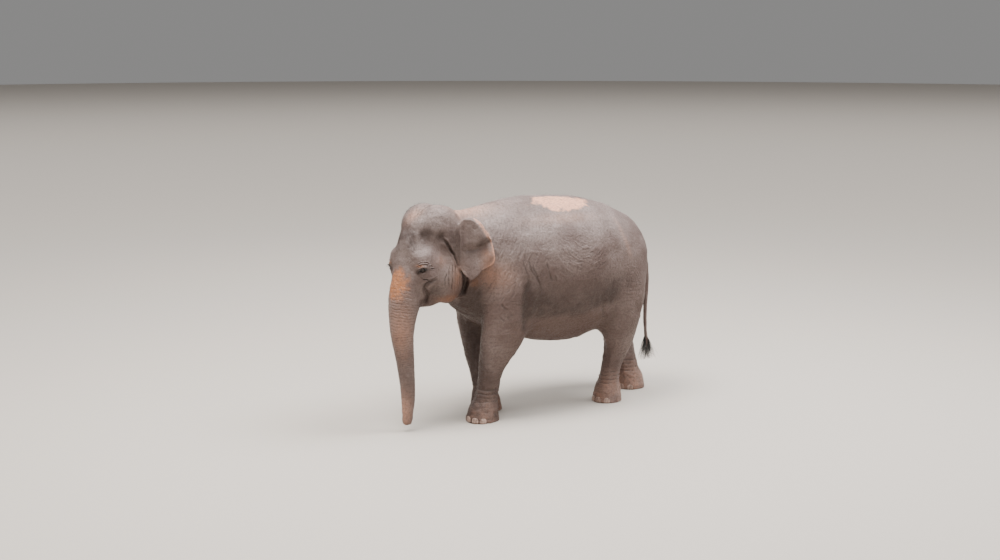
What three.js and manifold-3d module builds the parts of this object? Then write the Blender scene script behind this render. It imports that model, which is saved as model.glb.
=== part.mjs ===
// A standing Asian elephant cow, life size, in millimetres: +X is her left, -Y her front, +Z up.
// Her flesh is one smooth surface, given by a distance function. It is meshed a part at a time,
// as finely as each part needs, and thin plane cuts divide the parts.
import * as THREE from "three";
import { mergeVertices } from "three/addons/utils/BufferGeometryUtils.js";
import Module from "manifold-3d";

// ---- Driving dimensions ----
const BACK_HEIGHT = 2360; // floor to the top of the back
const DRAWN_HEIGHT = 2360; // the height that the sizes below are drawn for
const CUT = 0.5; // gap between neighbouring parts
const HEAD_AT = [1384, 100, 1723]; // forward, left, up: midway between the eyes
const HEAD_TURN = 17; // degrees, to her left
const EYE = { forward: 168, up: -4, radius: 20, out: 7 }; // in the head's frame
const TOE = { width: 92, height: 66, thick: 10, above: 6 };

// The side of a face on each part
const FACE = { body: 153, leg: 102, head: 67, trunk: 66, tip: 49 };

const COLOUR = {
  skin: "#7d7069",
  headSkin: "#85756c",
  trunkSkin: "#8d7468",
  legSkin: "#75665e",
  ear: "#8f7a70",
  eye: "#1d130d",
  nail: "#c9b5a6",
  hair: "#2a211d",
};

// ---- Places and frames ----
// A place is written as forward, left, up.
const at = (forward, left, up) => new THREE.Vector3(left, -forward, up);
const head = new THREE.Matrix4()
  .makeRotationZ(THREE.MathUtils.degToRad(HEAD_TURN))
  .setPosition(at(...HEAD_AT));
const mirrored = ([forward, left, up]) => [forward, -left, up];

// ---- Distance functions: negative inside ----
const either = (...fields) => (p) => Math.min(...fields.map((field) => field(p)));

// Joins fields with a fillet of about `soft` between them.
function joined(soft, ...fields) {
  return (p) => {
    let nearest = fields[0](p);
    for (const field of fields.slice(1)) {
      const d = field(p);
      const h = Math.max(soft - Math.abs(nearest - d), 0) / soft;
      nearest = Math.min(nearest, d) - (h * h * soft) / 4;
    }
    return nearest;
  };
}

function inFrame(frame, field) {
  const inverse = frame.clone().invert();
  const q = new THREE.Vector3();
  return (p) => field(q.copy(p).applyMatrix4(inverse));
}

// How far x, y, z is from an ellipsoid of radii a, b, c about the origin.
function fromEllipsoid(x, y, z, a, b, c) {
  const k0 = Math.hypot(x / a, y / b, z / c);
  const k1 = Math.hypot(x / (a * a), y / (b * b), z / (c * c));
  return k1 < 1e-9 ? -Math.min(a, b, c) : (k0 * (k0 - 1)) / k1;
}

function ellipsoid(place, [forward, left, up]) {
  const centre = at(...place);
  return (p) => fromEllipsoid(p.x - centre.x, p.y - centre.y, p.z - centre.z, left, forward, up);
}

// The same ellipsoid on her left and on her right.
const pair = (place, radii) => either(ellipsoid(place, radii), ellipsoid(mirrored(place), radii));

// A tapering limb along a smooth curve. A station is a place, then the half width across her and
// the half depth of the section. `egg` narrows the upper side. `ends` makes the end caps shorter.
function limb(stations, { egg = 0, ends = [1, 1] } = {}) {
  const STEPS = 4; // between stations
  const curve = (points) => new THREE.CatmullRomCurve3(points, false, "centripetal");
  const centres = curve(stations.map((s) => at(s[0], s[1], s[2])));
  const sizes = new THREE.CatmullRomCurve3(stations.map((s) => new THREE.Vector3(s[3], s[4], 0)));
  const count = (stations.length - 1) * STEPS;
  const rings = Array.from({ length: count + 1 }, (_, i) => ({
    centre: centres.getPoint(i / count),
    size: sizes.getPoint(i / count),
  }));
  const left = new THREE.Vector3(1, 0, 0);
  const spans = rings.slice(1).map((to, i) => {
    const from = rings[i];
    const run = to.centre.clone().sub(from.centre);
    const along = run.clone().normalize();
    const side = left.clone().addScaledVector(along, -left.dot(along)).normalize();
    return { from, to, run, along, side, front: side.clone().cross(along), first: !i };
  });
  const away = new THREE.Vector3();
  return (p) => {
    let nearest = Infinity;
    for (const span of spans) {
      away.copy(p).sub(span.from.centre);
      const t = THREE.MathUtils.clamp(away.dot(span.run) / span.run.lengthSq(), 0, 1);
      away.addScaledVector(span.run, -t);
      const wide = THREE.MathUtils.lerp(span.from.size.x, span.to.size.x, t);
      const deep = THREE.MathUtils.lerp(span.from.size.y, span.to.size.y, t);
      const atStart = span.first && t === 0;
      const atEnd = span.to === rings[count] && t === 1;
      const cap = atStart ? ends[0] : atEnd ? ends[1] : 1;
      const v = away.dot(span.front);
      const narrow = 1 - egg * THREE.MathUtils.clamp(v / deep, -1, 1);
      const d = fromEllipsoid(
        away.dot(span.side) / narrow, v, away.dot(span.along),
        wide, deep, Math.min(wide, deep) * cap,
      );
      nearest = Math.min(nearest, d);
    }
    return nearest;
  };
}

// ---- The flesh ----
const barrel = limb(
  [
    [-1150, 0, 1580, 430, 520], // croup
    [-820, 0, 1550, 560, 695], // hips
    [-400, 0, 1524, 655, 806], // belly
    [0, 0, 1580, 650, 775], // ribs
    [400, 0, 1640, 530, 670], // behind the shoulder
    [740, 0, 1700, 340, 535], // shoulder
  ],
  { egg: 0.1, ends: [0.85, 0.45] },
);
const neck = limb([
  [600, 0, 1755, 330, 465],
  [860, 0, 1845, 235, 400],
  [1110, 20, 1930, 190, 345],
]);

// In the head's own frame, the trunk starts as the ridge of the face and hangs to the ground.
const trunk = limb([
  [30, 0, 380, 160, 120],
  [92, 0, 190, 168, 145],
  [112, 0, 0, 166, 160], // root, between the eyes
  [162, 0, -170, 168, 166],
  [202, 0, -330, 164, 170],
  [230, 0, -480, 144, 144],
  [245, 0, -638, 126, 122],
  [218, 0, -883, 102, 98],
  [184, 0, -1129, 84, 82],
  [168, 0, -1373, 72, 73],
  [176, 0, -1540, 58, 60],
  [180, 0, -1606, 52, 54], // tip
]);
const finger = ellipsoid([216, 0, -1636], [20, 26, 34]);
const jaw = limb([
  [-225, 0, -225, 212, 190],
  [-90, 0, -305, 190, 142],
  [35, 0, -358, 90, 68], // lower lip
]);
const cranium = joined(
  115,
  ellipsoid([-170, 0, 270], [300, 226, 300]), // braincase
  pair([-190, 120, 410], [250, 150, 200]), // domes
  pair([-290, 235, 190], [120, 70, 200]), // roots of the ears
  pair([66, 166, 88], [150, 86, 92]), // brows, over the eyes
  pair([104, 160, -4], [76, 62, 62]), // about the eyes
  pair([-96, 184, -60], [240, 92, 130]), // cheek bones
  pair([-232, 184, -178], [198, 116, 230]), // jaw muscles
  pair([-34, 130, -130], [190, 126, 185]), // cheeks
);
const skull = joined(60, cranium, trunk);
const headFlesh = inFrame(head, joined(35, skull, jaw, finger));

// Legs, from the body down to the sole. The last station is under the floor.
const forelegLeft = limb([
  [380, 330, 1740, 150, 230],
  [410, 375, 1400, 190, 290], // shoulder
  [470, 345, 1080, 190, 272], // elbow
  [520, 310, 870, 176, 228],
  [570, 268, 700, 158, 162],
  [600, 222, 500, 134, 122],
  [614, 196, 280, 123, 121], // wrist
  [660, 186, 95, 156, 172], // foot
  [668, 186, -60, 174, 190],
]);
const forelegRight = limb([
  [360, -330, 1740, 150, 230],
  [380, -375, 1400, 190, 290],
  [395, -340, 1080, 185, 272],
  [405, -305, 870, 172, 235],
  [440, -265, 680, 152, 175],
  [450, -215, 470, 134, 130],
  [416, -196, 250, 124, 124],
  [402, -186, 95, 158, 172],
  [400, -186, -60, 174, 190],
]);
const hindlegLeft = limb([
  [-960, 280, 1640, 190, 340],
  [-985, 330, 1300, 212, 355], // thigh
  [-1000, 335, 1060, 200, 290],
  [-1020, 320, 870, 172, 225], // knee
  [-1035, 290, 710, 144, 172],
  [-1022, 250, 570, 122, 136],
  [-990, 212, 390, 108, 112],
  [-978, 194, 230, 118, 124], // heel
  [-968, 186, 95, 148, 160], // foot
  [-962, 186, -60, 166, 182],
]);
const hindlegRight = limb([
  [-1010, -280, 1640, 190, 340],
  [-1110, -330, 1300, 210, 345],
  [-1220, -330, 1060, 195, 300],
  [-1330, -310, 870, 168, 235],
  [-1415, -265, 700, 142, 175],
  [-1456, -225, 560, 126, 140],
  [-1488, -200, 390, 122, 130],
  [-1525, -194, 230, 130, 140],
  [-1556, -186, 95, 152, 166],
  [-1565, -186, -60, 168, 184],
]);
const body = joined(130, barrel, neck);
const fleshWith = (...legs) => joined(60, joined(110, body, either(...legs)), headFlesh);
const flesh = fleshWith(forelegLeft, forelegRight, hindlegLeft, hindlegRight);

// How far it is from a place inside a field, along a direction, to the field's surface.
function reachOf(field, place, direction) {
  let [near, far] = [0, 1000];
  while (far - near > 0.1) {
    const middle = (near + far) / 2;
    const inside = field(place.clone().addScaledVector(direction, middle)) < 0;
    [near, far] = inside ? [middle, far] : [near, middle];
  }
  return near;
}

// ---- Solids ----
const wasm = await Module();
wasm.setup();

function solid(positions, triangles) {
  const mesh = new wasm.Mesh({
    numProp: 3,
    vertProperties: new Float32Array(positions),
    triVerts: new Uint32Array(triangles),
  });
  return new wasm.Manifold(mesh);
}

// A closed three.js geometry as a solid, placed by a matrix.
function solidOf(geometry, matrix = new THREE.Matrix4()) {
  const bare = geometry.clone().applyMatrix4(matrix);
  bare.deleteAttribute("normal");
  bare.deleteAttribute("uv");
  const merged = mergeVertices(bare, 1e-3);
  return solid(merged.attributes.position.array, merged.index.array);
}

function geometryOf(shape) {
  const mesh = shape.getMesh();
  const geometry = new THREE.BufferGeometry();
  geometry.setAttribute("position", new THREE.BufferAttribute(mesh.vertProperties, 3));
  geometry.setIndex(new THREE.BufferAttribute(mesh.triVerts, 1));
  return geometry;
}

// The same solid with its surface moved outwards.
function grown(shape, distance) {
  const geometry = geometryOf(shape);
  geometry.computeVertexNormals();
  const { position, normal } = geometry.attributes;
  const positions = position.array.map((value, i) => value + normal.array[i] * distance);
  return solid(positions, geometry.index.array);
}

// A point moved onto the surface of a field, by less than the side of a face.
function onto(field, place, size, box) {
  const p = place.clone();
  const q = new THREE.Vector3();
  for (let n = 0; n < 3; n++) {
    const d = field(p);
    const slope = new THREE.Vector3(
      field(q.set(p.x + 1, p.y, p.z)) - d,
      field(q.set(p.x, p.y + 1, p.z)) - d,
      field(q.set(p.x, p.y, p.z + 1)) - d,
    );
    p.addScaledVector(slope, -d / Math.max(slope.lengthSq(), 0.2));
  }
  return p.distanceTo(place) < size && box.containsPoint(p) ? p : place;
}

// A field's flesh inside `box`, in faces with sides of about `size`: one vertex is put in each
// cell of a grid that the surface crosses, and one face across each grid edge that it crosses.
function fleshIn(box, size, field = flesh) {
  const margin = size * 2.5;
  const start = box.min.clone().subScalar(margin);
  const extent = box.getSize(new THREE.Vector3()).addScalar(2 * margin);
  const [nx, ny, nz] = extent.divideScalar(size).ceil().addScalar(1).toArray();
  const index = (i, j, k) => i + nx * (j + ny * k);
  const eachCell = (from, act) => {
    for (let k = from; k < nz - 1; k++)
      for (let j = from; j < ny - 1; j++) for (let i = from; i < nx - 1; i++) act(i, j, k);
  };
  const values = new Float32Array(nx * ny * nz).fill(size);
  const p = new THREE.Vector3();
  eachCell(1, (i, j, k) => {
    values[index(i, j, k)] = field(p.set(i, j, k).multiplyScalar(size).add(start));
  });
  const axes = [[1, 0, 0], [0, 1, 0], [0, 0, 1]];
  // Where the flesh touches itself across a grid face, the face's nearer outer corner is filled.
  const fillTouch = (i, j, k, axis) => {
    const [u, v] = [axes[axis], axes[(axis + 1) % 3]];
    const [a, b, c, d] = [[0, 0], [1, 0], [0, 1], [1, 1]].map(([m, n]) =>
      index(i + m * u[0] + n * v[0], j + m * u[1] + n * v[1], k + m * u[2] + n * v[2]),
    );
    const [outer, opposite] = values[a] < 0 ? [b, c] : [a, d];
    const [inner, facing] = values[a] < 0 ? [a, d] : [b, c];
    if (values[inner] >= 0 || values[facing] >= 0) return false;
    if (values[outer] < 0 || values[opposite] < 0) return false;
    values[values[outer] < values[opposite] ? outer : opposite] = -1;
    return true;
  };
  for (let touching = true; touching; ) {
    touching = false;
    eachCell(0, (i, j, k) => {
      for (const axis of [0, 1, 2]) touching = fillTouch(i, j, k, axis) || touching;
    });
  }

  const corners = Array.from({ length: 8 }, (_, c) => new THREE.Vector3(c & 1, (c >> 1) & 1, c >> 2));
  const cellEdges = corners.flatMap((_, c) =>
    [1, 2, 4].filter((bit) => !(c & bit)).map((bit) => [c, c | bit]),
  );
  const places = [];
  const vertexOf = new Map();
  eachCell(0, (i, j, k) => {
    const cell = corners.map((c) => values[index(i + c.x, j + c.y, k + c.z)]);
    const crossed = cellEdges.filter(([a, b]) => cell[a] < 0 !== cell[b] < 0);
    if (!crossed.length) return;
    const mean = new THREE.Vector3();
    for (const [a, b] of crossed) {
      mean.add(corners[a].clone().lerp(corners[b], cell[a] / (cell[a] - cell[b])));
    }
    mean.divideScalar(crossed.length).add(p.set(i, j, k)).multiplyScalar(size).add(start);
    vertexOf.set(index(i, j, k), places.length);
    places.push(onto(field, mean, size, box.clone().expandByScalar(margin)));
  });

  const triangles = [];
  const faceAcross = (i, j, k, axis) => {
    const [step, u, v] = [0, 1, 2].map((n) => axes[(axis + n) % 3]);
    const inside = values[index(i, j, k)] < 0;
    if (inside === values[index(i + step[0], j + step[1], k + step[2])] < 0) return;
    const vertex = (m, n) =>
      vertexOf.get(
        index(i - m * u[0] - n * v[0], j - m * u[1] - n * v[1], k - m * u[2] - n * v[2]),
      );
    const ring = [vertex(1, 1), vertex(0, 1), vertex(0, 0), vertex(1, 0)];
    if (!inside) ring.reverse();
    const bulge = (m, n) => Math.abs(field(p.lerpVectors(places[ring[m]], places[ring[n]], 0.5)));
    const turn = bulge(0, 2) <= bulge(1, 3) ? 0 : 1;
    const [a, b, c, d] = ring.map((_, n) => ring[(n + turn) % 4]);
    triangles.push(a, b, c, a, c, d);
  };
  eachCell(0, (i, j, k) => axes.forEach((_, axis) => faceAcross(i, j, k, axis)));
  return solid(places.flatMap((place) => place.toArray()), triangles);
}

// ---- Cutters ----
// An outline with its corners moved outwards. It runs anticlockwise.
function widened(outline, distance) {
  const points = outline.map(([x, y]) => new THREE.Vector2(x, y));
  return points.map((point, i) => {
    const before = points.at(i - 1);
    const after = points[(i + 1) % points.length];
    const out = (from, to) => new THREE.Vector2(to.y - from.y, from.x - to.x).normalize();
    const [m, n] = [out(before, point), out(point, after)];
    return point.clone().addScaledVector(m.clone().add(n), distance / (1 + m.dot(n)));
  });
}

// A block with this outline seen from her left, as forward and up, from side to side.
function sideBlock(outline, { frame, halfWidth = 1500, grow = 0 } = {}) {
  const shape = new THREE.Shape(widened(outline, grow));
  const block = new THREE.ExtrudeGeometry(shape, { depth: 2 * halfWidth, bevelEnabled: false });
  block.translate(0, 0, -halfWidth);
  const turn = new THREE.Matrix4().makeBasis(at(1, 0, 0), at(0, 0, 1), at(0, -1, 0));
  return solidOf(block.applyMatrix4(turn), frame);
}

// A block with this outline seen from her front, as left and up, from `rear` to `front`.
function frontBlock(outline, rear, front, { frame, grow = 0 } = {}) {
  const shape = new THREE.Shape(widened(outline, grow));
  const depth = front - rear + 2 * grow;
  const block = new THREE.ExtrudeGeometry(shape, { depth, bevelEnabled: false });
  block.translate(0, 0, rear - grow);
  const turn = new THREE.Matrix4().makeBasis(at(0, 1, 0), at(0, 0, 1), at(1, 0, 0));
  return solidOf(block.applyMatrix4(turn), frame);
}

// ---- Parts of the flesh ----
// Where the flesh is divided. Outlines run anticlockwise: forward and up in a side view.
const HEAD_REAR = [[-330, -520], [-432, -120], [-478, 420]]; // behind the jaw, the ears, the domes
const MOUTH = [[88, -520], [76, -330], [20, -262]]; // between the lower jaw and the trunk
const JAW_TOP = [[-130, -225], [-407, -215]];
const TRUNK_DIVISIONS = [[-262, 0.3], [-560, 0.1], [-1050, -0.05], [-2000, 0]]; // up, slope
const NECK_REAR = 720;
const LEG = { top: 1010, knee: 590, ankle: 215, inside: 100 };
const FORELEGS = [120, 960]; // rear, front
const HINDLEGS = [-2100, -700];
const FAR = 2600;

const box = (forward, left, up) =>
  new THREE.Box3(
    new THREE.Vector3(left[0], -forward[1], up[0]),
    new THREE.Vector3(left[1], -forward[0], up[1]),
  );
const rectangle = ([left, right], [bottom, top]) => [
  [left, bottom],
  [right, bottom],
  [right, top],
  [left, top],
];

function headBlock(grow) {
  const [jawEnd, ear, dome] = HEAD_REAR;
  const outline = [jawEnd, [900, jawEnd[1]], [900, 900], [dome[0], 900], dome, ear];
  return sideBlock(outline, { frame: head, grow });
}

function jawBlock(grow) {
  return sideBlock([HEAD_REAR[0], ...MOUTH, ...JAW_TOP], { frame: head, grow });
}

// One length of the trunk, between two cuts across it.
function trunkBlock(n, grow) {
  const across = ([up, slope], forward) => [forward, up + slope * forward];
  const [above, below] = [TRUNK_DIVISIONS[n], TRUNK_DIVISIONS[n + 1]];
  const rear = n ? [across(above, -300)] : [...MOUTH].reverse();
  const outline = [...rear, across(below, n ? -300 : MOUTH[0][0])];
  outline.push(across(below, 900), across(above, 900));
  return sideBlock(outline, { frame: head, halfWidth: 330, grow });
}

// A leg's own share of the flesh, between two heights. `side` is 1 on her left and -1 on her right.
function legBlock(side, [rear, front], [bottom, top], grow = 0) {
  const inner = [[LEG.inside, FAR], [LEG.inside, 700], [4, 450], [4, -400]];
  const outline = [...inner, [900, -400], [900, FAR]].map(([left, up]) => [side * left, up]);
  const leg = frontBlock(side > 0 ? outline : outline.reverse(), rear, front, { grow });
  return leg.intersect(sideBlock(rectangle([rear - 9, front + 9], [bottom, top]), { grow }));
}

// ---- Ears, eyes, toenails and tail ----
// A sheet of rows and columns of points, thickened to both sides of itself by a half thickness
// for each point, and closed round its rim.
function thickened(rows, halfThickness) {
  const [count, width] = [rows.length, rows[0].length];
  const clamped = (i, j) =>
    rows[THREE.MathUtils.clamp(i, 0, count - 1)][THREE.MathUtils.clamp(j, 0, width - 1)];
  const normal = (i, j) => {
    const down = clamped(i + 1, j).clone().sub(clamped(i - 1, j));
    return down.cross(clamped(i, j + 1).clone().sub(clamped(i, j - 1))).normalize();
  };
  const points = [1, -1].flatMap((side) =>
    rows.flatMap((row, i) =>
      row.map((p, j) => p.clone().addScaledVector(normal(i, j), side * halfThickness(i, j))),
    ),
  );
  const faces = [];
  const quad = (a, b, c, d) => faces.push(a, b, c, a, c, d);
  const under = count * width;
  for (let i = 0; i < count - 1; i++) {
    for (let j = 0; j < width - 1; j++) {
      const a = i * width + j;
      quad(a, a + width, a + width + 1, a + 1);
      quad(under + a, under + a + 1, under + a + width + 1, under + a + width);
    }
  }
  const rim = [];
  for (let j = 0; j < width - 1; j++) rim.push(j);
  for (let i = 0; i < count - 1; i++) rim.push(i * width + width - 1);
  for (let j = width - 1; j > 0; j--) rim.push((count - 1) * width + j);
  for (let i = count - 1; i > 0; i--) rim.push(i * width);
  rim.forEach((a, n) => {
    const b = rim[(n + 1) % rim.length];
    quad(a, b, under + b, under + a);
  });
  return solid(points.flatMap((p) => p.toArray()), faces);
}

// The ear's free edge, from the top of its root round to the bottom: outwards, then up.
const EAR_EDGE = [
  [0, 405], [60, 452], [136, 466], [208, 430], [268, 345], [320, 235], [352, 130], [360, 55],
  [334, 8], [280, -22], [222, -66], [172, -120], [126, -156], [90, -136], [48, -85], [0, -20],
];
const EAR = { root: [-325, 290], sunk: 46, rows: 11, columns: 3, thick: [17, 6] };
const EAR_SPREAD = { left: 54, right: 46 }; // degrees from straight back

// How far the ear's blade stands out from its plane: it is cupped, steps in below its middle,
// curls back along its upper edge and flares at its lobe.
function earRelief(outwards, up, toEdge) {
  const cup = 24 * Math.sin((Math.PI * THREE.MathUtils.clamp(outwards, 0, 380)) / 380);
  const step = 20 * THREE.MathUtils.smoothstep(up, 150, 235);
  const rim = THREE.MathUtils.smoothstep(toEdge, 0.75, 1);
  const curl = -34 * rim * THREE.MathUtils.smoothstep(up, 90, 260);
  const flare = 30 * THREE.MathUtils.smoothstep(-up, -60, 150);
  return cup + step + curl + flare;
}

function ear(side, degrees) {
  const edge = new THREE.CatmullRomCurve3(EAR_EDGE.map(([out, up]) => new THREE.Vector3(out, up, 0)));
  const spread = THREE.MathUtils.degToRad(degrees);
  const place = (outwards, up, toEdge) => {
    const relief = earRelief(outwards, up, toEdge);
    const forward = EAR.root[0] - outwards * Math.cos(spread) + relief * Math.sin(spread);
    const left = EAR.root[1] + outwards * Math.sin(spread) + relief * Math.cos(spread);
    return at(forward, side * left, up).applyMatrix4(head);
  };
  const rows = Array.from({ length: EAR.rows + 1 }, (_, i) => {
    const rim = edge.getPointAt(i / EAR.rows);
    const rootUp = THREE.MathUtils.lerp(390, 0, i / EAR.rows);
    return Array.from({ length: EAR.columns + 1 }, (_, j) => {
      const t = j / EAR.columns;
      const out = THREE.MathUtils.lerp(-EAR.sunk, Math.max(rim.x, 8), t);
      return place(out, THREE.MathUtils.lerp(rootUp, rim.y, t), t);
    });
  });
  if (side < 0) rows.reverse();
  return thickened(rows, (i, j) => THREE.MathUtils.lerp(...EAR.thick, j / EAR.columns));
}

// A tapering round tube along a smooth curve. A station is a place, then the half width across
// her and the half depth.
function tube(stations, sides, steps) {
  const centres = new THREE.CatmullRomCurve3(stations.map((s) => at(s[0], s[1], s[2])));
  const sizes = new THREE.CatmullRomCurve3(stations.map((s) => new THREE.Vector3(s[3], s[4], 0)));
  const left = at(0, 1, 0);
  const positions = [];
  for (let i = 0; i <= steps; i++) {
    const centre = centres.getPoint(i / steps);
    const size = sizes.getPoint(i / steps);
    const front = left.clone().cross(centres.getTangent(i / steps)).normalize();
    for (let k = 0; k < sides; k++) {
      const angle = (2 * Math.PI * k) / sides;
      const p = centre.clone().addScaledVector(left, size.x * Math.cos(angle));
      positions.push(...p.addScaledVector(front, size.y * Math.sin(angle)).toArray());
    }
  }
  positions.push(...centres.getPoint(0).toArray(), ...centres.getPoint(1).toArray());
  const [start, end] = [(steps + 1) * sides, (steps + 1) * sides + 1];
  const faces = [];
  for (let k = 0; k < sides; k++) {
    const next = (k + 1) % sides;
    for (let i = 0; i < steps; i++) {
      const [a, b] = [i * sides + k, i * sides + next];
      faces.push(a, b + sides, b, a, a + sides, b + sides);
    }
    faces.push(start, k, next, end, steps * sides + next, steps * sides + k);
  }
  return solid(positions, faces);
}

const TAIL = [
  [-1400, 0, 1880, 52, 46],
  [-1525, 0, 1750, 46, 42],
  [-1598, 0, 1540, 41, 38],
  [-1632, 0, 1320, 35, 32],
  [-1634, 0, 1120, 28, 27],
  [-1622, 0, 920, 22, 22],
  [-1630, 0, 740, 20, 20],
  [-1645, 0, 600, 18, 20],
];
const TUFT = [
  [-1643, 0, 620, 20, 26],
  [-1652, 0, 560, 34, 52],
  [-1674, 0, 480, 40, 84],
  [-1668, 0, 410, 30, 62],
  [-1634, 0, 362, 8, 12],
];
const TAIL_DIVISIONS = [FAR, 1200, 600, 300];

const ball = (radius, sides, rings) => new THREE.SphereGeometry(radius, sides, rings);

// The feet: where the middle of each sole is, and how far round its front its toenails are.
const FORE_TOES = [-62, -31, 0, 31, 62];
const HIND_TOES = [-54, -18, 18, 54];
const FEET = {
  foreleg_left: { leg: forelegLeft, side: 1, middle: [665, 186], toes: FORE_TOES },
  foreleg_right: { leg: forelegRight, side: -1, middle: [401, -186], toes: FORE_TOES },
  hindleg_left: { leg: hindlegLeft, side: 1, middle: [-965, 186], toes: HIND_TOES },
  hindleg_right: { leg: hindlegRight, side: -1, middle: [-1560, -186], toes: HIND_TOES },
};

// A toenail's outline, standing on its flat edge: a round top on straight sides.
const TOE_OUTLINE = [
  [-0.45, 0], [0.45, 0], [0.5, 0.5], [0.26, 0.95], [-0.26, 0.95], [-0.5, 0.5],
];

// Toenails are plates on the front of a foot's flesh.
function toenails(sole, { middle, toes }) {
  const plate = grown(sole, TOE.thick).subtract(grown(sole, CUT));
  return toes.map((degrees) => {
    const angle = THREE.MathUtils.degToRad(degrees);
    const size = 1 - 0.16 * Math.abs(Math.sin(angle));
    const outline = TOE_OUTLINE.map(([x, y]) => [x * TOE.width * size, y * TOE.height * size]);
    const turn = new THREE.Matrix4().makeRotationZ(angle).setPosition(at(...middle, TOE.above));
    return plate.intersect(frontBlock(outline, 0, 400, { frame: turn }));
  });
}

// ---- The parts ----
const group = new THREE.Group();
function add(name, shape, colour, roughness = 0.8) {
  const material = new THREE.MeshStandardMaterial({ color: colour, roughness, metalness: 0 });
  const mesh = new THREE.Mesh(geometryOf(shape), material);
  mesh.name = name;
  group.add(mesh);
}
const sides = [["left", 1], ["right", -1]];

// -- Head, eyes and ears
const headReach = box([760, 2000], [-440, 660], [1100, 2420]);
const wholeHead = fleshIn(headReach, FACE.head).intersect(headBlock(0));
const trunkSkin = fleshIn(box([1380, 2000], [-150, 450], [20, 1750]), FACE.trunk);
let headSkin = wholeHead.subtract(jawBlock(CUT)).subtract(trunkBlock(0, CUT));
for (const [name, side] of sides) {
  const inside = at(EYE.forward, side * 90, EYE.up).applyMatrix4(head);
  const outwards = at(0, side, 0).transformDirection(head);
  const reach = reachOf(flesh, inside, outwards) + EYE.out - EYE.radius;
  const matrix = new THREE.Matrix4().setPosition(inside.addScaledVector(outwards, reach));
  headSkin = headSkin.subtract(solidOf(ball(EYE.radius + CUT, 8, 6), matrix));
  add(`eye_${name}`, solidOf(ball(EYE.radius, 8, 6), matrix), COLOUR.eye, 0.1);
}
add("head", headSkin, COLOUR.headSkin);
const jawSkin = wholeHead.intersect(jawBlock(0));
add("jaw", jawSkin.subtract(trunkBlock(0, CUT)).subtract(trunkBlock(1, CUT)), COLOUR.headSkin);

// -- Trunk
add("trunk_base", trunkSkin.intersect(trunkBlock(0, 0)), COLOUR.trunkSkin);
add("trunk_middle", trunkSkin.intersect(trunkBlock(1, -CUT)), COLOUR.trunkSkin);
let tip = fleshIn(box([1450, 1800], [0, 330], [20, 760]), FACE.tip).intersect(trunkBlock(2, 0));
for (const [, side] of sides) {
  const nostril = new THREE.CylinderGeometry(12, 16, 90, 8).rotateX(Math.PI / 2);
  const matrix = new THREE.Matrix4().setPosition(at(182, side * 21, -1660));
  tip = tip.subtract(solidOf(nostril, matrix.premultiply(head)));
}
add("trunk_tip", tip, COLOUR.trunkSkin);

// -- Neck and torso
const bodySkin = fleshIn(box([-1900, 1260], [-760, 760], [600, 2400]), FACE.body);
const neckSkin = bodySkin
  .intersect(sideBlock(rectangle([NECK_REAR + CUT, 1250], [LEG.top + CUT, FAR])))
  .subtract(headBlock(CUT));
let torso = bodySkin.intersect(sideBlock(rectangle([-2000, NECK_REAR], [500, FAR])));
for (const [, side] of sides) {
  for (const span of [FORELEGS, HINDLEGS]) {
    torso = torso.subtract(legBlock(side, span, [-100, LEG.top], CUT));
  }
}
add("torso", torso, COLOUR.skin);
const aroundEars = grown(wholeHead, CUT).add(grown(neckSkin, CUT));
for (const [name, side] of sides) {
  const blade = ear(side, EAR_SPREAD[name]).subtract(aroundEars);
  add(`ear_${name}`, blade.simplify(CUT), COLOUR.ear); // without slivers from the cut
}
add("neck", neckSkin, COLOUR.skin);

// -- Legs and toenails
for (const [legName, foot] of Object.entries(FEET)) {
  const span = legName.startsWith("fore") ? FORELEGS : HINDLEGS;
  const across = foot.side > 0 ? [0, 620] : [-620, 0];
  const reach = box([Math.max(span[0], -1900), span[1]], across, [-60, LEG.top]);
  const skin = fleshIn(reach, FACE.leg, fleshWith(foot.leg));
  const part = (bottom, top) => skin.intersect(legBlock(foot.side, span, [bottom, top]));
  add(`${legName}_upper`, part(LEG.knee, LEG.top), COLOUR.legSkin);
  add(`${legName}_lower`, part(LEG.ankle, LEG.knee - CUT), COLOUR.legSkin);
  const sole = part(0, LEG.ankle - CUT);
  add(`${legName}_foot`, sole, COLOUR.legSkin);
  toenails(sole, foot).forEach((nail, n) => {
    add(`${legName}_nail_${n + 1}`, nail, COLOUR.nail, 0.5);
  });
}

// -- Tail
const tail = tube(TAIL, 8, 9).subtract(grown(torso, CUT));
const tailParts = [
  ["tail_upper", tail, COLOUR.skin],
  ["tail_lower", tail, COLOUR.skin],
  ["tail_tuft", tube(TUFT, 8, 5), COLOUR.hair],
];
tailParts.forEach(([name, shape, colour], n) => {
  const heights = [TAIL_DIVISIONS[n + 1], TAIL_DIVISIONS[n] - CUT];
  add(name, shape.intersect(sideBlock(rectangle([-2000, 0], heights))), colour);
});

// The origin is under the middle of her box, on the floor.
const bounds = new THREE.Box3().setFromObject(group);
const middle = bounds.getCenter(new THREE.Vector3());
group.position.set(-middle.x, -middle.y, -bounds.min.z);
const model = new THREE.Group().add(group);
model.scale.setScalar(BACK_HEIGHT / DRAWN_HEIGHT);
export default model;
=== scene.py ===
"""A still, life-size Asian elephant cow: one wrinkled skin over her packed flesh, with her eyes,
toenails and bristles, a pale floor and soft light. Lengths are in metres. Places on the body are
forward, left, up from the floor under her middle, and places on the head are in its own frame."""

import itertools
import math

import bmesh
import bpy
import numpy as np
from mathutils import Matrix, Vector
from mathutils.bvhtree import BVHTree


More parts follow.
